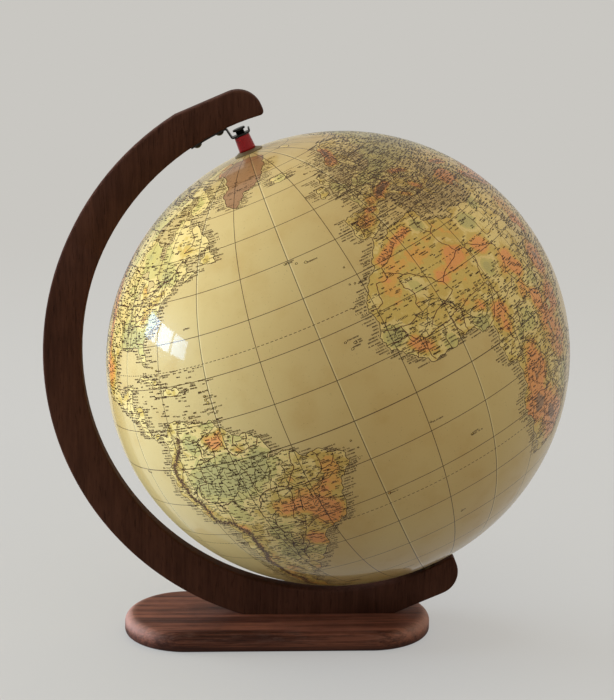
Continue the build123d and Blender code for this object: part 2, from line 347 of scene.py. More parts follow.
landText = {
    "africa": """-5.9 35.8, -2 35.1, 1.5 36.5, 5 36.8, 9.8 37.3, 11 37, 10.6 35.8, 10.1 34.2, 11.5 33.2,
        15.2 32.4, 15.7 31.4, 18.5 30.4, 20.1 31.1, 20 32.5, 21.7 32.9, 23.2 32.3, 25.2 31.6, 29 30.9,
        31 31.5, 32.6 31.2, 32.6 29.9, 33.6 27.9, 35.5 24, 37.2 21, 37.3 19, 39 16, 41.2 14.6, 43.2 12.5,
        43.2 11.5, 44.5 10.4, 47.5 11.2, 51.2 11.9, 51 10.4, 49 7.5, 47 4.2, 44.2 1.8, 41.8 -1.2, 39.7 -4,
        38.8 -6.2, 39.5 -8.5, 40.5 -10.7, 40.6 -14.8, 37 -17.6, 34.8 -19.8, 35.5 -22, 35.4 -24, 32.9 -25.9,
        32.4 -28.5, 30.3 -31.2, 27.5 -33.3, 25.6 -34, 22 -34.1, 20 -34.8, 18.4 -34.2, 18.2 -32, 16.8 -29,
        15.2 -26.8, 14.4 -22.6, 12.1 -18.2, 11.8 -16, 13.6 -12.3, 13.2 -8.8, 12.2 -6, 9.6 -2.4, 8.8 -0.7,
        9.6 1.2, 9.7 3.9, 8.5 4.7, 7 4.4, 5.9 4.4, 4.5 6.3, 1.5 6.2, -2 4.8, -4.5 5.2, -7.6 4.4, -9.3 5.8,
        -11.4 6.9, -13.2 8.8, -14.9 10.9, -16.8 12.4, -17.4 14.7, -16.5 16.1, -16.2 19.1, -17 21,
        -15.9 23.8, -14.4 26.2, -12.9 27.9, -10.2 29.3, -9.7 31.4, -7.6 33.6, -6.2 35""",
    "southAmerica": """-77.4 8.7, -75.5 10.6, -74.8 11.1, -72.2 12.1, -71.3 11.2, -70.2 11.6, -68.2 10.6,
        -66 10.6, -64 10.2, -62 10.7, -61 9.3, -60 8.4, -58.5 7.2, -57 6, -55 5.9, -52.9 5.3, -51.6 4.1,
        -50.5 1.9, -50 0, -51.3 -1.3, -48.3 -0.8, -47 -0.7, -44.6 -1.8, -44.2 -2.7, -41.5 -2.9, -38.6 -3.7,
        -37 -4.8, -35.3 -5.3, -34.8 -7.2, -35.2 -9.3, -37 -11.2, -38.4 -13, -39 -15, -39.1 -17.7,
        -39.8 -19.6, -41 -22, -43 -23, -44.6 -23.2, -46.4 -24.1, -48.5 -25.8, -48.7 -28.3, -50.2 -30,
        -52.2 -32.2, -53.6 -34, -55 -34.9, -57.9 -34.5, -58.4 -34, -57.2 -35.6, -56.8 -36.6, -57.6 -38,
        -59.5 -38.8, -62.1 -39, -62.3 -40.8, -65 -41, -63.8 -42.5, -65.3 -44.6, -67.5 -46, -65.8 -47.8,
        -67.6 -49.8, -69 -51.2, -68.4 -52.4, -68.2 -53.3, -65.2 -54.7, -67.5 -55.7, -71 -54.8, -74 -52.8,
        -75.4 -50, -74.6 -48, -75.5 -46.8, -73.4 -44, -73 -41.8, -73.8 -40, -73.5 -37.2, -72.4 -35.2,
        -71.6 -33, -71.6 -30.3, -70.7 -27, -70.4 -23.5, -70.2 -19.5, -71.3 -17.7, -73.8 -16, -76.2 -14,
        -77.2 -12, -78.8 -8.8, -81.1 -6, -80.5 -3.5, -79.9 -2.5, -80.9 -1, -80.1 0.7, -78.8 1.6, -77.4 3.8,
        -77.5 6.6, -77.9 7.4""",
    "northAmerica": """-77.2 8.4, -79.6 9.6, -82 9, -83.6 10.9, -83.3 14.9, -86 15.9, -88.6 15.8,
        -88.2 18.5, -86.9 21.4, -90.3 21.1, -91.4 18.8, -94.5 18.2, -96.2 19.3, -97.7 22.3, -97.3 25.9,
        -97 28, -94.7 29.4, -91.5 29.4, -89.3 29.1, -89 30.3, -86 30.4, -84 30, -82.7 28.2, -81.8 26,
        -80.4 25.2, -80.1 26.8, -81.4 30.5, -79.5 33, -77.5 34.2, -75.6 35.3, -76.2 37, -75 38.5, -74 40.4,
        -71.2 41.5, -70 41.8, -70.8 42.8, -69 44, -66.9 44.8, -64.8 45.6, -66 43.6, -63.5 44.6, -60 46,
        -61.5 45.8, -64.5 46.4, -64.8 48, -66.5 49.2, -69.5 47.8, -68 49.3, -64.5 50.3, -60 50.2, -57 51.5,
        -55.7 52.7, -57.5 54.6, -60.5 55.9, -62 57.8, -64.5 60.3, -66 58.8, -68.3 58.5, -69.8 60.8,
        -72.5 61.8, -77.5 62.5, -77.8 60.5, -78.5 58.7, -76.8 56.8, -79.3 54.8, -79 51.5, -80.8 51.2,
        -82.3 53, -82.3 55.1, -87.5 55.9, -92.4 57, -94.7 58.8, -93.2 61.8, -90.7 63.6, -87.2 64.5,
        -86.5 66.4, -82 66.8, -81.4 69, -84.5 69.8, -88 68.2, -91.5 69.8, -94.5 71.8, -96 68, -101 67.8,
        -108 68, -115 68.2, -124 69.8, -128.5 70, -135 69.4, -141 69.6, -150 70.5, -156.6 71.3, -163 69.4,
        -166 68.3, -162 66.5, -167.8 65.6, -161 64.5, -165 62, -164 60, -162 58.8, -157.5 58.6, -162.8 55.2,
        -158 56.2, -153.5 59.2, -150 61, -148 60, -144 60, -139.6 59.6, -135 57.6, -131 55, -128 51,
        -124.7 48.4, -124 46, -124.4 42.5, -123.8 39.5, -122.4 37.5, -120.6 34.6, -118.4 33.9, -117.1 32.5,
        -115.8 29.8, -114.2 27.7, -112.2 25.5, -110 22.9, -109.5 23.5, -111.3 26, -112.8 28.4, -114.7 31.5,
        -113.1 31.2, -111 27.9, -109.3 25.7, -106.4 23.2, -105.4 20.4, -102.2 18, -98 16.1, -94.8 16.2,
        -92.2 14.5, -87.6 13, -85.8 11, -83.6 8.5, -81 7.4, -80.2 8.2, -78.5 8.6, -77.6 7.2""",
    "eurasia": """-5.6 36, -6.4 36.8, -8.9 37, -9.4 38.7, -8.8 41.5, -9.2 43.1, -4 43.5, -1.7 43.4,
        -1.2 45.8, -4.6 48, -4.5 48.6, -1.5 48.7, -1.8 49.7, 1.6 50.9, 4.2 52, 7 53.5, 8.7 54, 8.2 57,
        10.6 57.7, 10.3 55.5, 11 54, 14.3 54, 18.5 54.6, 21 55.3, 21.5 57.3, 24 57.2, 23.5 59.2, 28 59.6,
        29.8 60, 25 60.2, 21.5 60.7, 21.5 62.8, 25.2 65, 22.3 65.8, 21 64, 17.3 61, 18.7 60, 16.5 57.5,
        14.3 55.5, 12.8 55.6, 11.3 58.8, 8 58.2, 5.5 59, 5 61.5, 9.5 63.6, 13 66, 16 68.5, 21 70.2, 28 71,
        31 70.3, 40 67.5, 41 66.5, 33 66.7, 35 64.2, 40 64.8, 44 66.2, 44 68.3, 54 68.4, 60 69.5, 68.5 68.3,
        67 71, 70 73, 73 71, 72.8 68.5, 75 68, 74 72, 81 73.5, 87 75, 98 76.2, 104 77.7, 113 73.8, 120 73,
        127 73.4, 130 71, 140 72.7, 152 71, 160 69.7, 170 69, 180 69, 190 66, 186 64.4, 180 64.8, 178 62.5,
        170 60, 164 59.8, 163 57.8, 162 56, 156.7 51, 155.7 55, 158 58, 163.5 61.5, 156 61.5, 152 59,
        143 59.3, 135.3 54.7, 141 53, 140.4 49, 135.5 44.5, 131.8 43.2, 129.7 41, 127.5 39.5, 129.4 37,
        129 35.2, 126.4 34.5, 126.8 37, 125 38, 124.8 39.6, 121.3 39, 122 40.5, 118 39, 119 37.3,
        122.4 37.2, 119.3 35, 121.8 31.5, 121.8 28.5, 119.5 25.6, 116.5 23, 113.5 22.2, 110.4 21.2,
        108.3 21.6, 105.8 19, 108.9 15.2, 109.2 11.7, 106.6 9.6, 104.8 8.7, 105 10.3, 102.5 12, 100.9 13.4,
        99.4 11, 100.4 8, 103.4 4, 104.2 1.4, 103.4 1.4, 101.3 3, 100.3 6, 98.4 8.2, 98.6 12, 97.6 16.4,
        95.2 15.8, 94.3 18, 92 21.5, 90.3 22.3, 87 21.3, 85 19.6, 82.2 16.7, 80.2 15.2, 80.2 13, 79.8 10.3,
        77.6 8.1, 76.2 10, 74.3 14.8, 72.8 19, 72.7 21, 70.5 20.8, 69 22.3, 67 24.8, 62 25.1, 57.3 25.6,
        56.3 27, 51.5 27.9, 50 30, 48 30, 48.8 27.8, 50.2 26.3, 51.5 24.5, 54 24.1, 56.3 26, 56.8 24.2,
        59.8 22.5, 57.7 19, 55 17, 52 15.6, 48.7 14, 45 12.8, 43.4 12.7, 42.8 15, 41 19, 39.1 21.3,
        37.2 24.5, 35 28, 34.9 29.4, 34.2 27.8, 32.5 30, 32.4 31.1, 34.3 31.4, 35 33, 35.9 36, 36 36.8,
        32.5 36.1, 30.5 36.8, 28 36.7, 26.3 38.5, 26.3 40, 29 41, 31.5 41.2, 35 42, 38.5 41, 41.6 41.6,
        39 44, 37 45.2, 39 47.1, 35 46.3, 36.5 45.3, 33.6 44.4, 33 46, 30.8 46.4, 28.7 44, 27.9 42.6,
        29 41.2, 26.2 40.8, 23.8 40.5, 22.8 39.5, 24 37.8, 22.8 36.5, 21.3 37.5, 20 39.8, 19.4 41.8,
        15.5 43.8, 13.6 45.6, 12.3 45.3, 12.5 44, 15.5 42, 18.4 40.2, 17 40.5, 16.6 38.8, 15.7 38, 15.6 40,
        12.2 41.9, 10.2 44, 8.5 44.3, 6 43.1, 3.2 43.2, 3.1 41.8, 0.3 40.5, -0.3 38.8, -2.1 36.7,
        -5.3 36.1""",
    "australia": """113.7 -22.7, 117 -20.6, 122 -18, 123.8 -16.2, 126.8 -14, 129.7 -15, 130.8 -12.4,
        133 -11.6, 136.8 -12, 135.5 -15, 139.5 -17.5, 141.5 -14, 142.5 -10.8, 143.8 -14.3, 145.4 -15,
        146.3 -18.9, 149 -20.5, 150.8 -23.4, 153.2 -25, 153.6 -28.5, 152.5 -32.4, 150.2 -36.2, 150 -37.5,
        147 -38.2, 146.3 -39.1, 144 -38.3, 140.5 -38, 139 -36, 138 -34.5, 137.8 -33, 135.8 -34.9, 134 -32.7,
        131 -31.5, 126 -32.3, 124 -33.3, 120 -33.9, 118 -35, 115 -34.3, 115.7 -31.8, 113.4 -26.2""",
    "antarctica": """-180 -78, -160 -77, -150 -77, -140 -75, -125 -73.7, -110 -74.5, -100 -73, -85 -73,
        -75 -73, -68 -70, -67 -67.3, -60 -64, -57 -63.3, -61 -66, -62 -70, -61 -74, -75 -77.5, -60 -79,
        -40 -78, -28 -76, -15 -72.5, 0 -70, 15 -69.7, 30 -69.3, 40 -69, 50 -67, 58 -67, 70 -69, 80 -67.5,
        90 -66.5, 105 -66, 120 -66.5, 135 -66, 150 -68.5, 165 -71, 170 -72, 165 -76, 165 -78, 180 -78,
        180 -90, -180 -90""",
    "greenland": """-73 78.2, -68.5 76.1, -62 76.2, -55.5 74, -52.5 71, -51 68, -51 65.3, -48 61.8,
        -43.5 60.2, -42 62, -40 65, -35 66, -28 68.3, -25 70.7, -22 74, -18.5 77, -12 81.3, -22 82.3,
        -33 83.5, -46 82.8, -60 82, -66 80.5""",
    "iceland": "-24 65.5, -22 66.4, -20 66, -16 66.5, -13.6 65, -15 64.3, -18.8 63.4, -22.5 63.8, -22 64.6",
    "baffin": """-80 73.7, -75 72, -68 70, -62 66.8, -64.5 63.4, -66 62, -71 63, -74 64.5, -77.9 65.3,
        -73.5 66.5, -72.5 68, -78 70, -88 71, -90 73.5, -85 73.8""",
    "ellesmere": "-90 76.6, -80 76.2, -77 78, -72 80, -62 82.5, -75 83.1, -88 82, -92 81, -87 79",
    "victoria": "-117 70, -115 72.8, -107 73.2, -102 70, -106 69, -115 69.2",
    "banks": "-125 72, -120 74.3, -116 73, -122 71.1",
    "devon": "-96 76.5, -80 75.7, -81 74.6, -92 74.8",
    "somerset": "-95 74, -90.3 73.8, -93 72, -98 71.5, -102 73",
    "melville": "-117 76, -106 76, -106 74.8, -113 74.6",
    "axel": "-96 80.5, -88 80.3, -92 78.5",
    "southampton": "-86 66, -81 64, -86 63.2, -87 64",
    "newfoundland": "-59.3 47.7, -57.3 50.7, -55.6 51.5, -55.5 50, -53 48.6, -53 46.7, -56 46.9",
    "cuba": "-84.9 21.9, -82.5 23.1, -79.5 22.8, -76 21, -74.2 20.2, -77.6 19.9, -78.3 21, -81.8 22.3",
    "hispaniola": "-74.4 18.5, -73 19.9, -70 19.8, -68.4 18.6, -71 17.8",
    "jamaica": "-78.3 18.3, -76.3 18, -77.2 17.8",
    "puertoRico": "-67.2 18.4, -65.7 18.4, -65.9 17.9, -67.1 17.9",
    "britain": """-5.5 50.1, -3.5 50.3, 1.3 51.1, 1.7 52.7, 0.2 53, -1.5 55, -3 56, -2 57.6, -4 57.7,
        -3.1 58.6, -5 58.6, -6 56.6, -4.8 54.8, -3 54, -4.5 53.3, -5.2 51.9, -3 51.3""",
    "ireland": "-10 51.6, -6.3 52.2, -6 53.5, -5.6 54.6, -7.3 55.3, -10 54.2, -9.2 53.2",
    "sicily": "12.5 38, 15.6 38.2, 15.2 36.7",
    "sardinia": "8.2 41, 9.6 41, 9.6 39.2, 8.5 39",
    "corsica": "8.6 42.4, 9.5 43, 9.4 41.5",
    "crete": "23.6 35.5, 26.3 35.3, 24 34.9",
    "cyprus": "32.4 35, 34.5 35.6, 33.8 34.9",
    "zealand": "11 55.7, 12.5 56, 12.2 55, 11.2 55.2",
    "madagascar": """49.3 -12, 50.4 -15.8, 49.3 -18, 47.2 -25, 45 -25.4, 43.5 -22.5, 44.4 -19.8, 44.2 -16.3,
        46.5 -15.6, 48 -13.5""",
    "ceylon": "80 9.7, 81.8 7.5, 80.5 6, 79.8 8",
    "novayaZemlya": "52 71, 56 73.5, 68 76.8, 61 75.3, 57 71",
    "svalbard": "11 79.5, 20 80.3, 24 79.8, 18 77, 14 77.5",
    "severnaya": "96 80.5, 104 79.2, 99 78.2",
    "newSiberian": "138 75.8, 149 75.2, 141 73.6",
    "sakhalin": "142 54, 143.5 51, 143 46.4, 142 48",
    "honshu": """130.9 34, 133 35.5, 136 35.8, 137 37.3, 139.5 38.5, 140.3 41.2, 142 39.6, 140.9 37,
        140.2 35.3, 137 34.6, 135.7 33.5""",
    "hokkaido": "140 41.6, 140.5 43.3, 141.8 45.4, 145.3 43.8, 143.2 42",
    "kyushu": "129.8 33, 131 33.9, 131.9 32.8, 130.7 31.1",
    "shikoku": "132.5 33.6, 134.5 34.2, 134 33.3",
    "taiwan": "120.2 23, 121.6 25.2, 120.9 22",
    "hainan": "108.7 19, 110.5 20.1, 110 18.4",
    "luzon": "120 16, 120.8 18.5, 122.2 18.4, 121.6 16, 124 12.7, 120.7 14",
    "visayas": "122 11.5, 125 12.3, 125 10.3, 123 9.3",
    "mindanao": "122 7, 123.5 8.5, 125.5 9.7, 126.4 7, 125.4 5.7",
    "borneo": """109 1.5, 111.5 2.6, 115 5, 116.8 7, 119 5.2, 117.8 2, 117.5 0, 116.2 -3.8, 114.5 -4,
        110.2 -2.8, 109 0""",
    "sumatra": "95.3 5.5, 97.5 5.2, 100.5 2.2, 103.7 -1, 106 -3, 105.8 -5.8, 102.2 -4, 100.3 -1, 98.7 1.7",
    "java": "105.2 -6.8, 106.5 -6, 110.8 -6.4, 114.4 -7.7, 114.4 -8.7, 108.5 -7.8",
    "celebes": """119 -3.5, 119.8 0, 121 1.3, 125 1.6, 123.5 0.4, 120.3 0.4, 120.8 -1.2, 123.3 -0.9,
        121.8 -2, 122.5 -4, 121.6 -4.8, 120.9 -2.8, 120.4 -5.5, 119.5 -5.5""",
    "newGuinea": """131 -0.8, 134 -0.8, 135 -3.3, 138 -1.7, 141 -2.6, 145.8 -5, 147.8 -6.3, 150.8 -10.4,
        147 -9.5, 143.5 -8.5, 141 -9.1, 138.5 -8.3, 138 -5.5, 133 -4, 132 -2.8""",
    "timor": "123.5 -10.3, 127 -8.4, 125 -9.3",
    "flores": "119.9 -8.7, 123 -8.3, 122 -8.9",
    "seram": "128 -3.1, 130.8 -3.3, 129 -3.6",
    "halmahera": "127.5 1, 128 2, 128.5 0",
    "newBritain": "148.5 -5.6, 152 -4.2, 151 -6",
    "tasmania": "144.7 -40.8, 148.2 -40.9, 147.8 -43.2, 146 -43.5",
    "northIsland": "172.8 -34.5, 175.5 -36.6, 178.5 -37.7, 177 -39.5, 175.3 -41.6, 173.8 -39.3, 174.7 -37.5",
    "southIsland": "172.7 -40.6, 174.3 -41.7, 171 -44.3, 170.6 -46, 168.5 -46.6, 166.5 -45.8, 170.5 -43",
    "newCaledonia": "164 -20.2, 167 -22.3, 164.5 -21",
    "falklands": "-61 -51.8, -58 -51.5, -59 -52.3",
}

isletText = """-16.6 28.3, -15.4 28.1, -14 28.4, -17.9 28.6, -24 15.1, -22.9 16.1, -24.9 17, -25.5 37.8,
    -28.1 38.5, -31.1 39.4, -17 32.8, -64.7 32.3, -5.7 -16, -14.4 -7.9, -29.3 -20.5, -12.3 -37.1,
    -32.4 -3.9, -61.5 16.2, -61 14.6, -61.4 15.4, -59.5 13.1, -61.7 12.1, -62.8 17.3, -61.3 10.4, -77.5 25,
    -78 26.6, -76 24.2, -74.5 22.6, -69 12.3, -82.9 21.7, 6.7 0.2, 8.7 3.5, 1.5 39.5, 3 39.7, 14.4 35.9,
    28 36.2, 19 57.4, 16.8 56.8, -7 62, -1.2 60.3, -3 59, -6.7 58.1, 55.5 -21.1, 57.5 -20.3, 43.3 -11.7,
    45.2 -12.8, 55.5 -4.6, 73 4, 54 12.5, 39.3 -6.1, 70 -49.3, 96.8 -12, 105.6 -10.5, 92.8 12, -91 -0.6,
    -155.6 19.6, -157.9 21.4, -159.5 22, 178 -17.8, 179.3 -16.7, -172.3 -13.7, -149.5 -17.6, -175.2 -21.2,
    167 -15.4, 160 -9.5, 158 -8, 155.2 -6.2, 144.8 13.5, -109.4 -27.1, -36.8 -54.4, 127.8 26.5, 147 45,
    150 46.5, -153.4 57.5, -166 54, -132.5 53.3, -125.5 49.6, 118.5 9.8, 119.3 -9.8"""

lakeText = {
    "caspian": """47 44.5, 49 46.5, 53 46.8, 53 45.2, 51 44.5, 52.8 42, 54 41, 53.8 38.5, 53 36.9, 50.5 37,
        49 38.5, 49.5 40.4, 47.7 42.8""",
    "superior": "-92 46.8, -89 48.2, -86 48.7, -84.6 46.7, -87.5 46.6",
    "michigan": "-87.8 42, -87.6 44.8, -85.5 46, -86.3 43.8, -86.8 41.8",
    "huron": "-84 46, -81 45.9, -80 44.6, -81.7 44.3, -82.4 43.1, -83.5 44",
    "erie": "-83.3 41.7, -79 42.8, -81.5 41.6",
    "ontario": "-79.7 43.3, -76.3 44, -77 43.3",
    "winnipeg": "-98.8 53.6, -97 52, -97 50.6, -98.5 51.8",
    "greatSlave": "-117 61, -114.5 62.5, -109.5 62.8, -113 61.2",
    "greatBear": "-125 66, -121 66.8, -119.5 65.6, -122 65",
    "nyanza": "31.8 -2.4, 31.8 0.1, 34 0.2, 33.8 -2",
    "tanganyika": "29.1 -3.4, 29.6 -4.5, 31 -8.7, 30.3 -8, 29.2 -5.5",
    "malawi": "34 -9.6, 34.6 -11.5, 35.1 -14.2, 34.4 -13",
    "chad": "13.7 13.4, 14.6 13.7, 14.9 12.9, 14 12.7",
    "aral": "58.5 45, 61 46.5, 61 44.6, 59 43.6",
    "balkhash": "74 46.2, 78.5 46.7, 74.2 45.2",
    "baikal": "104 51.6, 107.5 53, 109.8 55.6, 108 53, 105.5 51.5",
    "ladoga": "30.2 61, 32.3 60.9, 31.8 59.9",
}

riverText = """-50.5 -0.4, -54.7 -2.4, -60 -3.3, -65 -3.4, -70 -4, -73.3 -4.4, -75.6 -8.5 | -59 -3.4,
    -61.5 -6.5, -64 -8.8, -65.4 -10.6 | -60 -3.2, -63 -1, -67 1.2, -68.5 2 | -54.7 -2.4, -56.5 -6, -58 -9.5,
    -56 -13 | -52 -1.7, -52.2 -5, -52.6 -9, -53.5 -13 | -49.3 -1.6, -49 -5.3, -49.6 -9, -48.5 -13,
    -49.3 -16 | -65 -3.4, -66.5 -6, -69 -8.5, -71.2 -10 | -61 9, -64.5 7.8, -67.3 6.5, -67.7 3.5,
    -64.5 2.5 | -58.4 -34, -60 -32, -58.8 -27.3, -54.6 -25.5, -51 -20.5, -50 -18.5 | -58.8 -27.3, -57.6 -22,
    -57.8 -18, -56.5 -15.5 | -36.5 -10.4, -40.5 -9, -43.3 -12, -44.9 -16.5, -45.5 -20 | -57.8 -33.5,
    -57.5 -30, -53 -27.6 | -74.8 11, -74.5 8, -75.5 3 | 31 31.4, 31 29, 32.8 25.8, 30.6 21.5, 33.8 19,
    32.5 15.6, 31.5 9.6, 31.8 4, 33.2 0.5 | 32.5 15.6, 34.5 12, 37.3 11.8 | 12.4 -6, 16 -3.5, 18 0.2,
    21.5 2.1, 25 0.5, 26 -4, 27 -9 | 18 0.2, 18.6 4.3, 22.6 4.1, 28 4.2 | 16.6 -3.3, 20 -5, 21.8 -8,
    20.5 -11.5 | 6.2 4.5, 6.7 7.8, 4 11.5, 0 16.3, -3 16.7, -5.3 13.6, -9.5 10 | 6.7 7.8, 10 8, 13.3 9.2 |
    36.2 -18.7, 32.5 -16, 28.6 -16.5, 25.8 -17.9, 23 -14, 24 -11.6 | 16.5 -28.6, 20.5 -28.7, 24.5 -28.8,
    28 -30.2 | 32.9 -25.2, 31 -22.3, 27 -23.6, 26 -25.5 | -16.4 16, -13.5 16.1, -11.4 13.2 | -89.4 29.2,
    -91.2 32, -89.5 36.5, -90.6 41.5, -93.2 45, -95 47.2 | -90.2 38.7, -95 39, -97 43, -101 47, -105 48,
    -111 47 | -89.3 37, -85.5 38.4, -80.2 40.4 | -91.2 33.7, -95 35.3, -100 37.7, -105 38.5 | -97.2 26,
    -100.5 28.5, -104.5 29.7, -106.5 32, -106 37 | -69.5 47.8, -73.6 45.5, -76.4 44.1 | -114.8 32,
    -114.5 35, -111 37, -108.5 39.3 | -124 46.2, -119 46, -118.5 49, -117 51.5 | -134.5 69.3, -130 66.5,
    -123.5 62, -117.3 61.2 | -164 62.8, -157 64.8, -148 65.5, -141 65, -135.2 61 | -92.5 57, -95 54.5,
    -98 53.5 | -107 53, -114 53.5 | 29.6 45.2, 26 43.8, 22.6 44.5, 19 47.5, 16.4 48.2, 10.5 48.7 | 4.2 51.9,
    7 50.8, 8.2 49.3, 7.6 47.6 | 9 53.9, 11.5 52.5, 13.7 51, 14.8 50.2 | 18.8 54.3, 21 52.3, 19.5 50.1 |
    32.4 46.6, 34.9 48.4, 30.6 50.5, 31.5 54.5 | 39.3 47.2, 42 48.6, 39.5 51.5 | 48 45.9, 44.5 48.6,
    48 51.8, 49.2 55.6, 44 56.3, 39 58, 34 57 | 49.2 55.6, 54 56.5, 56.5 59.5 | 0 49.4, 2.3 48.8 |
    -2.1 47.2, 1.7 47.8, 4 45.5 | -8.7 41.1, -5 41.6 | -9 38.8, -4 39.9 | 73 68, 66 64, 69 61, 74.5 61,
    82.5 56, 85 52.3 | 69 61, 68 58, 73.4 55, 77 52 | 83 71, 87 66, 90.5 61, 93 56, 94.5 51.8 | 127 72.5,
    124 67, 129.5 63.5, 120.5 60, 108 54.5 | 141 53, 135 48.6, 127.5 50, 121 53.3, 117 49.5 | 121.8 31.6,
    117 31, 112 30, 107 29.7, 104.5 28.7, 99.5 27.5, 97 32 | 118.8 37.8, 113.5 34.9, 110.5 37, 111 40.3,
    106.5 38.5, 103.8 36 | 106.5 10, 105.8 14.2, 104.7 17.5, 100.5 20.2, 98.8 25, 96 31 | 95 16, 95.5 20,
    96.5 25 | 90.5 22.8, 88 24.8, 83 25.5, 78.2 29.5 | 90 23.5, 91 26.3, 95.3 28, 90 29.3, 83 29.8 |
    67.8 24, 69 27.5, 71.5 31, 72.3 34, 77 34.5 | 48.3 30.2, 45.5 32, 43.2 36.3, 41 37.6 | 47.5 31, 44 33,
    40.5 35, 38.5 37.8 | 61 44.5, 66 43.5, 70 40.8 | 59.5 43.6, 63 39, 68 37.2 | 139.3 -35.4, 141.8 -34.1,
    146.5 -36 | 142 -34.1, 144.5 -31, 149 -28.5 | 81.8 16.4, 78.5 18.8, 74 20 | 138.2 -5.8, 139 -3.5 |
    114.5 -3.5, 114 0"""

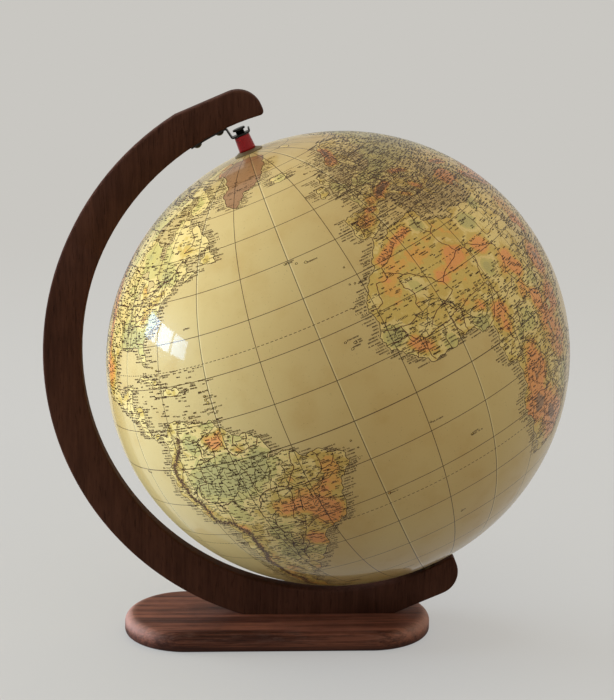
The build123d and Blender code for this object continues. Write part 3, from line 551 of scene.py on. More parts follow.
borderText = """-2.1 35, -1.6 32.4, -5.5 29.8, -8.7 28.7, -8.7 26, -12 26, -13 23, -13 21.4, -17 21.3 |
    -8.7 27.3, -4.9 25, 1.2 21.1, 3.2 19, 12 23.5, 9.9 26.5, 9.5 30.2, 7.6 33.5, 8.6 36.9 | 9.5 30.2,
    11.5 33.1 | -4.9 25, -6.5 25, -5.5 15.5, -12 14.9, -16.3 16.2 | -12 14.9, -11.4 12.4, -16.7 12.4 |
    12 23.5, 14.9 22.8, 16 23.5, 24 19.5, 24 20, 25 20 | 25 31.6, 25 22, 36.8 22 | 24 20, 24 15.5, 22.2 13,
    22.9 11, 18.5 8.5, 15.5 7.5 | 14.9 22.8, 15.5 20, 13.6 14 | 3.2 19, 4.2 16.4, 1 15, 0.2 14.9, -3 13.7,
    -5.3 11.5 | 3.6 11.7, 6.9 13.1, 11 13.3, 13.6 13.7 | 2.7 6.4, 2.8 9, 3.6 11.7, 2.4 12, 0.2 14.9 |
    8.6 4.8, 11.5 6.6, 13.2 10, 14.2 13 | 1.2 6.1, 0.5 8, 0 11.1, 2.4 12 | -3.1 5.1, -2.8 10.9, 0 11.1 |
    -7.5 4.4, -8.4 7.6, -8 10.2, -5.5 10.4, -2.8 10.9 | -11.4 12.4, -8 10.2 | -8.4 7.6, -10.6 8.4, -11.4 7 |
    -10.6 8.4, -13.2 9 | 14.2 13, 15.5 10, 14.5 6, 16.2 2.2, 9.8 2.2 | 13.2 2.2, 14.3 -1.5, 12 -3, 11.2 -4 |
    16.2 3, 18.6 3.5, 18 -1, 16 -4.8, 12.3 -5.9 | 18.6 4.4, 22.5 4.2, 27.4 5.1, 30.8 3.6, 33.9 4.2 |
    22.9 11, 25 8, 27.4 5.1 | 36.5 14.3, 34.2 10.5, 33 7.9, 35.9 4.6, 39 3.5, 41.9 4 | 41.9 4, 41 -1,
    41.6 -1.7 | 41.9 4, 45 5, 48 8, 44 9, 42.7 11 | 36.5 14.3, 40 14.5, 42.5 12.5 | 33.9 4.2, 35 1.9, 34 -1,
    37.7 -3.2, 39.2 -4.7 | 30.8 3.6, 31.3 2.1, 29.7 0, 29.3 -3, 29.3 -5, 30.7 -8.3, 28.6 -8.7, 28.4 -11.8,
    29.8 -12.2, 29.6 -13.3, 27 -11.8, 24 -11 | 29.7 -1, 34 -1 | 13 -5.9, 16.6 -6, 17.6 -8, 21.8 -7.3,
    22 -11, 24 -11, 24 -13, 22 -13, 22 -16.2, 23.4 -17.6, 18.4 -17.4, 13.9 -17.4, 11.8 -17.3 | 23.4 -17.7,
    21 -18.3, 21 -22, 20 -22, 20 -28.4, 16.5 -28.6 | 20 -25, 23 -25.4, 25.6 -25.6, 27 -23.7, 29.4 -22.2,
    31.3 -22.4, 32 -26.8 | 29.4 -22.2, 27.7 -20.5, 25.3 -17.8, 30.4 -15.6, 32.8 -16.7, 32.4 -20,
    31.3 -22.4 | 30.4 -15.6, 33 -14, 33.2 -10, 30.7 -8.3 | 34.5 -12, 34.7 -11.5, 40.4 -10.5 | 34 -14.4,
    35.2 -17, 35.8 -16, 35.2 -14 | -71.3 11.8, -72.8 9.2, -72.4 7.4, -67.5 6.2, -67.8 2.8, -66.9 1.2, -64 2,
    -64 4, -60.7 5.2, -61.3 6.8, -60 8.3 | -60.7 5.2, -59.8 2.5, -58.8 1.2, -56.5 2, -54.5 2.3, -52.6 2.4,
    -51.7 4 | -57.2 6, -58 4, -56.5 2 | -54 5.8, -54.5 2.3 | -66.9 1.2, -69.5 1, -69.9 -4.2, -72.5 -2.4,
    -75.3 0, -78.8 1.4 | -75.3 0, -78 -3.5, -79 -5, -80.3 -3.5 | -69.9 -4.2, -73 -5, -74 -7.5, -72.8 -9.5,
    -70.6 -9.5, -69.5 -11, -69 -14.5, -69.5 -17.5, -68.5 -20, -67.8 -22.9 | -69.5 -11, -65.4 -9.8, -65 -12,
    -60.2 -13.7, -60 -16.2, -57.8 -17.6, -58.1 -20, -61.8 -19.7, -62.6 -22.2, -66 -21.9, -67.8 -22.9,
    -68.5 -25, -70 -30, -70 -33.5, -71 -38, -71.8 -42, -71.6 -46, -73 -49.5, -72 -52, -68.5 -52.3 |
    -58.1 -20, -57.8 -22.1, -55.8 -22.3, -54.3 -24, -54.6 -25.6, -53.8 -27, -57.6 -30.2, -58.2 -33.5 |
    -62.6 -22.2, -57.6 -25.4, -58.6 -27.3, -56 -27.3, -54.6 -25.6 | -57.6 -30.2, -55.5 -31, -53.4 -33.7 |
    -46 -1.1, -46.5 -5, -50 -9.5, -50.8 -14, -53 -18, -51 -22 | -41.3 -3, -41 -8, -46 -10, -46 -14.5,
    -40 -16.5 | -37.2 -5, -38.5 -7.5, -41 -8 | -60 -13.7, -56.5 -9.5, -50 -9.5 | -58.5 -2, -56.5 -9.5 |
    -51 -22, -47.5 -20, -46.5 -22.5, -44.8 -23 | -54.3 -24, -48.5 -25.8 | -123 49, -95 49, -89.5 48,
    -84.5 46.5, -82.4 43, -79 43.3, -75 45, -71.4 45.2, -69.2 47.4, -67.8 45.7 | -117.1 32.5, -111 31.3,
    -106.5 31.7, -101.4 29.8, -99.5 27.5, -97.2 25.9 | -141 69.6, -141 60.3, -135 59.5, -130 55.3 | -110 60,
    -110 49 | -102 60, -102 49 | -120 60, -120 54, -114 49 | -139 60, -95 60 | -95 60, -89 57 | -95 53,
    -95 49 | -79.5 51.5, -79.5 47, -74.5 45.2 | -67 58.5, -64 54, -67 52, -57.5 51.5 | -104 49, -104 41,
    -102 41, -102 37, -94.5 36.5, -94.5 33, -93.8 30 | -114 42, -124 42 | -114 49, -111 44.5, -111 41,
    -109 41, -109 31.4 | -120 42, -120 39, -114.6 35 | -104 43, -96.5 43, -91 43.5 | -102 40, -95.5 40,
    -91.5 40.4 | -91.5 46.8, -91 42.5, -89.5 37 | -88 41.7, -88 38 | -84.8 41.7, -84.8 39 | -89.5 36.5,
    -81.7 36.6, -76 36.6 | -91 35, -83 35, -81 35 | -88.2 35, -88.4 30.4 | -85.5 35, -85 31, -81.5 30.7 |
    -80.5 42, -80.5 39.7, -75.5 39.8 | -79.8 42, -75 42, -74 41 | -73.3 45, -73.4 41 | -109 37, -102 37 |
    -111 41, -104 41 | -92.2 14.6, -91 17.8, -89.2 17.8 | -89.3 14.4, -83.2 15 | -85.7 11.1, -83.7 10.9 |
    -82.9 8.3, -82.6 9.5 | -8.8 41.9, -6.2 41.6, -7 38.2, -7.4 37.2 | -1.8 43.3, 3.1 42.4 | 7.5 43.8,
    6.9 45.9, 6.1 46.3, 7.6 47.6, 8.2 49, 6.2 49.5, 2.6 51.1 | 6.2 49.5, 6 51.5, 7.1 53.3 | 8.6 54.9,
    10 54.8 | 7 45.9, 10.4 46.6, 13.7 46.5, 13.6 45.7 | 7.6 47.6, 9.6 47.5, 13 47.7, 12.1 50.3, 14.9 50.9,
    14.3 53.9 | 14.9 50.9, 18.8 49.6, 22.5 49.1 | 13.8 48.7, 17 48.5, 17 47.9, 16.2 46.8, 13.7 46.5 |
    17 47.9, 20 48.2, 22.8 48, 20.3 46.1, 16.3 46.4 | 20.3 46.1, 22.6 44.4, 22.8 42.3, 23 41.4, 20.9 40.9,
    19.4 41.9 | 22.6 44, 28.5 43.7 | 20 39.7, 21 40.9, 26.3 41.7, 28 42 | 19.8 54.4, 23.5 54, 23.6 51.5,
    24 50.6, 22.5 49.1, 26.6 48.2, 28.2 45.5 | 24.1 65.8, 20.6 69, 25.7 69.7, 28.9 69, 30 66, 31.5 62.8,
    27.8 60.6 | 20.6 69, 14.2 65.3, 12.2 61.5, 11.2 59 | 41.5 41.5, 44.5 39.8, 44.8 37.2, 42.4 37.1,
    36.6 36.8 | 44.8 37.2, 45.5 34, 48 30.5 | 42.4 37.1, 41 34.4, 39 32.1, 42 31.1, 46.5 29.1, 48.4 28.6 |
    39 32.1, 37 30, 35 29.4 | 42.8 16.4, 46.5 17.2, 52 19, 55.2 22.6, 51.6 24.2 | 54 37.3, 57.5 38,
    61.2 36.6, 60.9 31.5, 61.7 25.2 | 61.2 35.3, 66.5 37.3, 71.5 38, 74.9 37.3, 71.2 34, 66.3 29.9,
    60.9 29.9 | 68.2 23.7, 70 28, 74.5 31, 74.9 37 | 78 35.5, 79 32, 81 30.2, 88 27.9, 92 27.7, 97.3 28.2 |
    80.2 28.8, 88.1 26.4, 88.1 24.5, 88.9 22 | 97.3 28.2, 94.5 25, 92.3 21 | 97.5 28.3, 98.7 25.5,
    101.1 21.6, 97.8 18.4, 98.6 14, 98.8 10 | 101.1 21.6, 103.1 22.6, 108 21.6 | 102.1 22.4, 104 20.3,
    107.5 15, 107.5 12.3, 104.5 10.4 | 100.1 20.3, 101 17.5, 104.8 16.4, 105.5 14.4, 102.5 13.6,
    102.9 11.7 | 74.9 37.3, 73.8 39.6, 80.2 42.1, 80.3 45, 85.5 47.1, 87.8 49.1, 98 50.5, 102 51.4,
    107 49.8, 116.7 49.9, 119.8 47, 111.8 44, 105 41.6, 96.4 42.7, 90.8 45.2, 87.8 49.1 | 116.7 49.9,
    121 53.3, 127 50, 130.9 47.7, 134.7 48.3, 131 44.8, 130.6 42.4 | 124.4 40, 128.3 41.9, 130.6 42.4 |
    126.6 37.8, 128.4 38.6 | 49 46.3, 47 49.5, 52 51.5, 61 51, 62 54, 70 55.2, 77 54, 81 51, 87.4 49.1 |
    109.7 2, 114 1.5, 115.8 4.3, 117.9 4.2 | 141 -2.6, 141 -9.1 | 129 -15, 129 -31.6 | 138 -16.8, 138 -26,
    141 -26, 141 -38 | 129 -26, 138 -26 | 141 -29, 152 -28.8, 153.4 -28.2 | 141 -34, 146 -36, 150 -37.4"""

# Relief tints: longitude, latitude, reach in degrees, lift
# A mountain chain: the points it runs over, reach, lift, share of hill strokes

lowlands = [
    (-18.5, 65, 2.5, -0.16), (-82, 79.5, 3, -0.2), (-66, 68, 4, -0.12), (-88, 48, 20, -0.07),
    (-62, -4, 7, -0.34), (-53, -2.5, 4, -0.3), (-70, -4, 5, -0.3), (-58, -21, 4, -0.24),
    (-60, -29, 4.5, -0.26), (-69, 6, 3, -0.26), (-63.5, 8.7, 2.5, -0.28), (-57.5, 5, 2, -0.2),
    (-66, -14, 3, -0.24), (-52, -31, 2.5, -0.25), (20, 0, 4.5, -0.22), (-2.6, 6.4, 2.2, -0.26),
    (7.2, 6.4, 2.4, -0.34), (-14.3, 13.6, 2.8, -0.3), (-12.5, 8.5, 1.6, -0.25), (-3.8, 21.4, 2.2, -0.24),
    (7.8, 33.3, 1.7, -0.42), (17.6, 15.9, 2.5, -0.32), (22.8, 27.5, 2.6, -0.46), (31, 30, 2, -0.3),
    (30, 8, 3, -0.25), (35, -20, 4, -0.3), (5, 52, 4, -0.12), (17, 53, 5, -0.14), (27, 55, 6, -0.16),
    (42, 56, 9, -0.16), (-1, 47, 2.4, -0.14), (-1, 53, 2, -0.16), (72, 60, 13, -0.36), (60, 45, 7, -0.2),
    (82, 26, 4, -0.3), (116, 34, 5, -0.3), (102, 15, 4, -0.25), (-84, 31.5, 4, -0.26), (-91, 33, 4, -0.28),
    (-78, 36, 2.4, -0.26), (-73, 46, 3, -0.16), (-83, 52, 6, -0.13), (-110, 66, 10, -0.1),
    (142, -24, 7, -0.15), (138, -30, 5, -0.2), (103, 0, 4, -0.3), (114, -1, 4, -0.25),
    (140, -6.5, 3, -0.25),
]
highlands = [
    (5, 22, 16, 0.06), (39, 9, 4, 0.45), (36, 0, 4, 0.35), (30, -3, 3.5, 0.3), (33, -10, 5, 0.22),
    (27, -28, 5, 0.34), (22, -22, 5, 0.22), (16, -20, 4, 0.32), (18, -12, 5, 0.32), (18.4, -5.2, 2.6, 0.22),
    (10.2, 23, 2.7, 0.27), (13.3, 23.2, 1.8, 0.1), (3.6, 20.2, 1.7, 0.28), (7.2, 21.2, 1.6, 0.2),
    (20.2, 21.3, 2.4, 0.34), (25, 14.6, 3, 0.28), (27.2, 11, 2.6, 0.34), (24.5, 6.8, 2.2, 0.3),
    (28, 2.8, 2.8, 0.32), (13.6, 6.6, 2.4, 0.38), (13.6, 2.3, 2, 0.28), (9, 9.8, 1.5, 0.26),
    (-10.5, 9.8, 2, 0.28), (-8, 8.3, 1.6, 0.24), (-7.3, 27, 2.6, 0.14), (-10.6, 24.6, 2.4, 0.13),
    (2, 27, 2.4, 0.1), (1.5, 9.8, 1, 0.16), (-44, -19, 4, 0.29), (-47.5, -14.5, 3.5, 0.26),
    (-51, -26.5, 2.6, 0.24), (-41.5, -12, 2.6, 0.2), (-39, -7.5, 2.4, 0.16), (-53.5, -15, 3, 0.2),
    (-67.5, -18.5, 1.6, 0.16), (-63, 6, 3, 0.34), (-58, 2.5, 2, 0.2), (-45, 80, 5.5, 0.8),
    (-36, 76.5, 6, 0.9), (-42, 70.5, 6.5, 0.9), (-46, 64, 4.5, 0.9), (-68, 54, 3, 0.12), (-84, 44, 2, 0.16),
    (-4, 40.5, 2.4, 0.24), (2.7, 45, 1.6, 0.2), (35, 39, 4, 0.32), (56, 33, 5, 0.26), (43.5, 18, 3.5, 0.3),
    (45, 24, 4, 0.14), (88, 33, 6, 0.4), (101, 27, 4, 0.32), (159, 56, 3, 0.3), (76, 17, 4, 0.16),
    (115, 2, 2.5, 0.25), (120, -25, 6, 0.1), (170.5, -43.5, 1.5, 0.35), (137.5, 36, 1.3, 0.3),
    (-112, 40, 5, 0.16), (-103, 24, 4, 0.22), (0, -78, 60, 0.1), (128, 62, 9, 0.12), (47, -19, 2, 0.3),
]
chains = [
    ("-73 8, -76 3, -78.5 -1, -77.5 -8, -75 -12, -70 -16, -67.5 -20, -68 -25, -69.7 -30", 1.0, 0.04, 5.5),
    ("-69.7 -30, -70.3 -35, -71.2 -40, -72.5 -46, -73 -51", 0.9, 0.04, 4.5),
    ("-8.6 30, -4 31.8, 0 33, 5.5 34.2", 1.3, 0.22, 1.2),
    ("-150 65, -130 60, -122 54, -115 48, -110 42, -107 38, -106 33, -105 27", 2.0, 0.27, 1.3),
    ("-122 47, -119.5 38, -117 34", 1.2, 0.2, 0.8),
    ("-84 35, -80 38, -75 42, -71 44.5", 1.2, 0.1, 0.7),
    ("6.5 45, 9 46.3, 14 47", 1, 0.42, 0.7),
    ("-1 42.8, 2 42.4", 0.8, 0.3, 0.5),
    ("19 49.2, 24.5 47.5, 25 45.5", 1, 0.24, 0.4),
    ("20 43, 22 40", 1.1, 0.25, 0.4),
    ("13.5 42.5, 16 40", 0.8, 0.22, 0.4),
    ("40.5 43.6, 47 41.6", 1, 0.4, 0.7),
    ("7.5 60.5, 13 64, 18 68", 1.4, 0.26, 0.4),
    ("45 36, 53 30", 1.6, 0.36, 0.6),
    ("68 35, 75 36, 80 31.5, 88 28.8, 95 29.3", 1.7, 0.36, 0.9),
    ("72 41, 85 43", 1.8, 0.33, 0.6),
    ("88 49, 98 48, 106 48", 3, 0.2, 0.5),
    ("108 53, 118 56, 128 57", 2.8, 0.18, 0.4),
    ("130 66, 142 65, 155 67", 3.4, 0.16, 0.4),
    ("58 53, 60 60, 61 66", 1.2, 0.26, 0.4),
    ("134 -3.7, 140 -4.5, 146 -7", 1.2, 0.38, 0.6),
    ("146 -18, 149 -24, 151 -31, 148 -37", 1.4, 0.24, 0.4),
    ("99 1.5, 102 -3", 0.9, 0.3, 0.5),
]
finePrint = [  # where the small print is dense and dark: longitude, latitude, reach, amount
    (10, 49, 10, 0.9), (24, 45, 9, 0.8), (35, 39, 7, 0.7), (15, 38.5, 5, 0.8), (22, 36, 5, 0.8),
    (30, 34, 4, 0.7), (-4, 41, 4, 0.5), (15, 61, 8, 0.8), (40, 54, 11, 0.7), (-2, 53, 4, 0.5),
    (-60, -28, 8, 0.4), (50, 32, 10, 0.5), (42, 12, 12, 0.5), (36, -6, 10, 0.5),
]


def readPoints(text):
    return [tuple(float(value) for value in pair.split()) for pair in text.split(",")]


def readLines(text):
    return [readPoints(line) for line in text.split("|")]


def splitEdge(start, end, rng, rough):  # midpoint steps make a drawn edge ragged
    shrink = math.cos(math.radians((start[1] + end[1]) / 2))
    across = (end[0] - start[0]) * shrink
    upward = end[1] - start[1]
    length = math.hypot(across, upward)
    if length < globeMap["coastStep"] or min(start[1], end[1]) < globeMap["plainSouth"]:
        return [start]
    limit = globeMap["swayLimit"]
    sway = max(-limit, min(limit, rng.gauss(0, rough)))
    middle = ((start[0] + end[0]) / 2 - sway * upward / shrink, (start[1] + end[1]) / 2 + sway * across)
    return splitEdge(start, middle, rng, rough) + splitEdge(middle, end, rng, rough)


def roughLine(points, rng, closed=False, sway=globeMap["coastRough"]):
    ends = points[1:] + points[:1] if closed else points[1:]
    fine = [point for start, end in zip(points, ends) for point in splitEdge(start, end, rng, sway)]
    return fine if closed else fine + points[-1:]


streamLook = {"pitch": 0.9, "slant": (0.5, 1.2), "wander": 0.5, "steps": (2, 5), "step": 0.75}


def tributaries(river, rng):  # small side streams that leave a river at a slant
    branches = []
    walked = 0.0
    for start, end in zip(river, river[1:]):
        walked += math.dist(start, end)
        if walked < streamLook["pitch"]:
            continue
        walked = 0.0
        heading = math.atan2(end[1] - start[1], end[0] - start[0])
        heading += rng.choice((-1, 1)) * rng.uniform(*streamLook["slant"])
        shrink = math.cos(math.radians(end[1]))
        step, wander = streamLook["step"], streamLook["wander"]
        line = [end]
        for _ in range(rng.randint(*streamLook["steps"])):
            heading += rng.uniform(-wander, wander)
            lon, lat = line[-1]
            line.append((lon + step * math.cos(heading) / shrink, lat + step * math.sin(heading)))
        branches.append(roughLine(line, rng))
    return branches


isletLook = {"reach": (0.22, 0.42), "corners": 5, "jitter": 20, "long": (0.7, 1.4), "tall": (0.6, 1)}


def islet(lon, lat, rng):
    reach = rng.uniform(*isletLook["reach"])
    corners, jitter = isletLook["corners"], isletLook["jitter"]
    turns = [i * 360 / corners + rng.uniform(-jitter, jitter) for i in range(corners)]
    return [(lon + reach * rng.uniform(*isletLook["long"]) * math.cos(math.radians(t)),
             lat + reach * rng.uniform(*isletLook["tall"]) * math.sin(math.radians(t))) for t in turns]


def drawWorld():
    rng = random.Random(globeMap["seed"])
    land = [roughLine(readPoints(text), rng, True) for text in landText.values()]
    land += [islet(lon, lat, rng) for lon, lat in readPoints(isletText)]
    lakes = [roughLine(readPoints(text), rng, True) for text in lakeText.values()]
    rivers = [roughLine(line, rng) for line in readLines(riverText)]
    rivers += [branch for river in rivers for branch in tributaries(river, rng)]
    borders = [roughLine(line, rng, sway=globeMap["borderRough"]) for line in readLines(borderText)]
    return land, lakes, rivers, borders


def insideShape(shape, lon, lat):  # even-odd test of many points at once
    ring = numpy.array(shape)
    hit = numpy.zeros(len(lon), bool)
    low, high = ring.min(0), ring.max(0)
    for shift in (-360, 0, 360):
        east = lon + shift
        near = (east > low[0]) & (east < high[0]) & (lat > low[1]) & (lat < high[1])
        if not near.any():
            continue
        x, y = east[near], lat[near]
        inside = numpy.zeros(len(x), bool)
        for (x1, y1), (x2, y2) in zip(ring, numpy.roll(ring, -1, 0)):
            if y1 != y2:
                inside ^= ((y1 > y) != (y2 > y)) & (x < (x2 - x1) * (y - y1) / (y2 - y1) + x1)
        hit[near] |= inside
    return hit


def isLand(lon, lat):
    lon, lat = numpy.asarray(lon, float), numpy.asarray(lat, float)
    dry = numpy.zeros(len(lon), bool)
    for shape in landShapes:
        dry |= insideShape(shape, lon, lat)
    for shape in lakeShapes:
        dry &= ~insideShape(shape, lon, lat)
    return dry


def chainSpots():  # spots strung along the mountain chains
    spots = []
    for text, reach, lift, _ in chains:
        points = readPoints(text)
        for start, end in zip(points, points[1:]):
            steps = max(1, round(math.dist(start, end) / reach))
            for i in range(steps):
                lon = start[0] + (end[0] - start[0]) * i / steps
                lat = start[1] + (end[1] - start[1]) * i / steps
                spots.append((lon, lat, reach, lift * globeMap["chainShare"]))
    return spots


def addSpots(lon, lat, spots, start):  # steep-sided spots over a plain level
    lon, lat = numpy.asarray(lon, float), numpy.asarray(lat, float)
    level = numpy.full(len(lon), start)
    for spotLon, spotLat, reach, lift in spots:
        turn = (lon - spotLon + 180) % 360 - 180
        away = (turn * numpy.cos(numpy.radians(spotLat))) ** 2 + (lat - spotLat) ** 2
        level += lift * numpy.exp(-(away / reach**2) ** 2)
    return numpy.clip(level, 0, 1)


def onLand(lines):  # the stretches of the lines that cross land
    dryness = iter(isLand(*zip(*(point for line in lines for point in line))))
    stretches = []
    for line in lines:
        run = []
        for point in line:
            if next(dryness):
                run.append(point)
            else:
                stretches.append(run)
                run = []
        stretches.append(run)
    return [run for run in stretches if len(run) > 1]


landShapes, lakeShapes, riverLines, borderLines = drawWorld()
riverLines, borderLines = onLand(riverLines), onLand(borderLines)
chainPlaces = chainSpots()
reliefPlaces = lowlands + highlands + chainPlaces
print("map drawn:", sum(map(len, landShapes)), "coast points")

paperAge = makePaperAge()
graticule = makeGraticule()
woodGrain = makeWoodGrain()
scuff = makeScuff()


# Printed paper

paperLook = {
    "ocean": tone(212, 186, 124),
    "stain": tone(222, 190, 128),
    # pale colour of a painted highlight along each seam's raised lip
    "seam": tone(238, 222, 168),
    "ink": tone(56, 30, 6),
    "hillInk": tone(92, 62, 38),
    "riverInk": tone(58, 42, 22),
    "borderInk": tone(84, 34, 14),
    # strength of the net and of the painted seam highlight, and where the fine print begins to show
    "sea": {"net": 0.88, "seam": 0.5, "printFrom": 0.5},
    "land": {"net": 0.85, "seam": 0.15, "printFrom": 0.0},
    "tints": [(0, tone(196, 184, 118)), (0.22, tone(212, 196, 120)), (0.34, tone(236, 210, 136)),
              (0.47, tone(216, 185, 99)), (0.56, tone(232, 176, 90)), (0.66, tone(238, 163, 94)),
              (0.88, tone(164, 123, 84))],
    "tintEdge": 0.025,  # how soft the edge between two tints is
    "tintWander": 0.5,  # how far the tints stray from the relief
    "age": 0.5,
    "seamHeight": 0.55,
    "bump": (0.12, 0.0004),
    # noise scales
    "ripple": 40.0,
    "tintNoise": 90.0,
    "hatch": 620.0,
    "inkWear": 700.0,
    "printGrain": 1300.0,
    "varnish": {"Roughness": 0.4, "Coat_Weight": 0.5, "Coat_Roughness": 0.05, "Coat_IOR": 1.5,
                "Specular_IOR_Level": 0.1},
}


def varnished(name):  # paper under a clear varnish
    return newMaterial(name, **paperLook["varnish"])


def readMap(tree, name):  # a value that the mesh carries
    return put(tree, "ShaderNodeAttribute", attribute_name=name).outputs["Fac"]


def finelyPrinted(tree, colour, start):  # crowded small print, too fine to make out
    amount = spread(tree, readMap(tree, "print"), start, 1.0)
    grain = cloud(tree, objectPlace(tree), paperLook["printGrain"], 2.0, 0.6)
    grain = spread(tree, grain, 0.4, 0.6, 0.1, 0.75)
    return blend(tree, calc(tree, "MULTIPLY", amount, grain), colour, paperLook["hillInk"])


def finishPaper(tree, sockets, colour, look):
    colour = finelyPrinted(tree, colour, look["printFrom"])
    lines = useGroup(tree, graticule, {"Line": printedNet["line"]})
    # painted highlight: paler along each seam's raised lip
    colour = blend(tree, calc(tree, "MULTIPLY", lines["Seam"], look["seam"]), colour, paperLook["seam"])
    colour = blend(tree, calc(tree, "MULTIPLY", lines["Net"], look["net"]), colour, paperLook["ink"])
    given = {"Colour": colour, "Stain": paperLook["stain"], "Amount": paperLook["age"]}
    aged = useGroup(tree, paperAge, given)
    tree.links.new(aged["Colour"], sockets["Base Color"])
    tree.links.new(aged["Roughness"], sockets["Roughness"])
    ripple = cloud(tree, objectPlace(tree), paperLook["ripple"], 3.0)
    height = calc(tree, "MULTIPLY_ADD", lines["Seam"], paperLook["seamHeight"], ripple)
    tree.links.new(bump(tree, height, *paperLook["bump"]), sockets["Normal"])


def makeOceanPaper():
    material, tree, sockets = varnished("oceanPaper")
    finishPaper(tree, sockets, paperLook["ocean"], paperLook["sea"])
    return material


def makeLandPaper():
    material, tree, sockets = varnished("landPaper")
    place = objectPlace(tree)
    rough = calc(tree, "SUBTRACT", cloud(tree, place, paperLook["tintNoise"], 5.0, 0.6), 0.5)
    level = calc(tree, "MULTIPLY_ADD", rough, paperLook["tintWander"], readMap(tree, "relief"))
    tint = layers(tree, level, paperLook["tints"], paperLook["tintEdge"])
    hatch = spread(tree, cloud(tree, place, paperLook["hatch"], 3.0, 0.6), 0.58, 0.68)
    shade = calc(tree, "MULTIPLY", hatch, spread(tree, level, 0.5, 0.9, 0.1, 0.6))  # printed hill shading
    finishPaper(tree, sockets, blend(tree, shade, tint, paperLook["hillInk"]), paperLook["land"])
    return material


def makeInk(name, colour):
    material, tree, sockets = varnished(name)
    worn = spread(tree, cloud(tree, objectPlace(tree), paperLook["inkWear"], 3.0), 0.5, 0.8, 0.0, 0.3)
    tree.links.new(blend(tree, worn, colour, paperLook["ocean"]), sockets["Base Color"])
    return material


oceanPaper = makeOceanPaper()
landPaper = makeLandPaper()
coastInk = makeInk("coastInk", paperLook["ink"])
hillInk = makeInk("hillInk", paperLook["hillInk"])
riverInk = makeInk("riverInk", paperLook["riverInk"])
borderInk = makeInk("borderInk", paperLook["borderInk"])


def addObject(name, mesh, body, slot, *replaced):
    piece = bpy.data.objects.new(name, mesh)
    bpy.context.scene.collection.objects.link(piece)
    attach(piece, body)
    if replaced:
        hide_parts(*replaced)
    return piece


def addVectors(mesh, name, vectors):  # one vector for each point of a mesh
    data = mesh.attributes.new(name, "FLOAT_VECTOR", "POINT").data
    data.foreach_set("vector", [part for vector in vectors for part in vector])


def goreNet(low, high):  # edge points, mesh points and coast edges of one gore, in degrees
    end = math.degrees(math.acos(poleHoleRadius / equatorRadius))
    columns = round((high - low) / globeMap["columnStep"])
    rows = round(2 * end / globeMap["rowStep"])
    points, edges = [], []
    for row in range(rows + 1):
        for column in range(columns + 1):
            points.append((low + (high - low) * column / columns, -end + 2 * end * row / rows))
    width = columns + 1
    edges += [(i, i + 1) for row in (0, rows) for i in range(row * width, row * width + columns)]
    edges += [(i, i + width) for column in (0, columns) for i in range(column, rows * width + column, width)]
    inner, past = globeMap["edgeMargin"], globeMap["coastMargin"]
    count = globeMap["ringPoints"]
    for lon, lat, reach, _ in chainPlaces:  # finer along the mountain chains
        shrink = math.cos(math.radians(lat))
        rings = [(share * reach, math.radians(360 / count * i + turn))
                 for share, turn in globeMap["chainRings"] for i in range(count)]
        near = [(lon + away * math.cos(t) / shrink, lat + away * math.sin(t)) for away, t in rings]
        points += [(x, y) for x, y in near + [(lon, lat)] if low + inner < x < high - inner]
    for shape in landShapes + lakeShapes:
        for shift in (-360, 0, 360):
            ring = [(lon + shift, lat) for lon, lat in shape]
            if max(ring)[0] < low or min(ring)[0] > high:
                continue
            for start, finish in zip(ring, ring[1:] + ring[:1]):
                if max(start[0], finish[0]) > low - past and min(start[0], finish[0]) < high + past:
                    points += [start, finish]
                    edges.append((len(points) - 2, len(points) - 1))
    return points, edges, end


def buildGore(index):
    seam = globeMap["seamAngle"] / 2
    low = index * goreDegrees - globeMap["turn"] + seam
    high = low + goreDegrees - 2 * seam
    if low > 180:
        low, high = low - 360, high - 360
    points, edges, end = goreNet(low, high)
    found = geometry.delaunay_2d_cdt([Vector(p) for p in points], edges, [], 0, globeMap["mergeAngle"])
    places, triangles = found[0], found[2]
    middles = numpy.array([sum((places[i] for i in face), Vector((0, 0))) / 3 for face in triangles])
    keep = (middles[:, 0] > low) & (middles[:, 0] < high) & (abs(middles[:, 1]) < end)
    triangles = [face for face, kept in zip(triangles, keep) if kept]
    dry = isLand(middles[keep, 0], middles[keep, 1])
    used = sorted({i for face in triangles for i in face})
    order = {old: new for new, old in enumerate(used)}
    count = len(used)
    faces = [tuple(order[i] for i in face) for face in triangles]
    frames = [surfaceFrame(*places[i]) for i in used]
    drop, wall = globeMap["paperDrop"], globeMap["paperWall"]
    skin = [point - out * drop for point, out, _, _ in frames]
    back = [point - out * (drop + wall) for point, out, _, _ in frames]
    once = {}
    for a, b, c in faces:
        for edge in ((a, b), (b, c), (c, a)):
            once[tuple(sorted(edge))] = None if tuple(sorted(edge)) in once else edge
    rim = [(b, a, a + count, b + count) for a, b in filter(None, once.values())]
    allFaces = faces + [tuple(i + count for i in reversed(face)) for face in faces] + rim
    mesh = bpy.data.meshes.new(f"printedGore{index + 1:02d}")
    mesh.from_pydata(skin + back, [], allFaces)
    mesh.materials.append(oceanPaper)
    mesh.materials.append(landPaper)
    for face, wet in zip(mesh.polygons, ~dry):
        face.material_index = 0 if wet else 1
    lon = [places[i].x for i in used] * 2
    lat = [places[i].y for i in used] * 2
    addVectors(mesh, "lonLat", [(x, y, 0.0) for x, y in zip(lon, lat)])
    for name, spots, start in (("relief", reliefPlaces, globeMap["plainLevel"]), ("print", finePrint, 0.0)):
        values = addSpots(lon, lat, spots, start)
        mesh.attributes.new(name, "FLOAT", "POINT").data.foreach_set("value", values)
    outward = [out for _, out, _, _ in frames]
    normals = [outward[i] for face in faces for i in face]
    normals += [-outward[i] for face in faces for i in reversed(face)]
    normals += [face.normal.copy() for face in mesh.polygons[2 * len(faces):] for _ in face.vertices]
    mesh.normals_split_custom_set(normals)
    return addObject(f"printedGore{index + 1:02d}", mesh, "globe", "map_paper", goreNames[index])


printedGores = [buildGore(index) for index in range(len(goreNames))]
print("paper pasted:", sum(len(gore.data.polygons) for gore in printedGores), "faces")


# Geometry Nodes

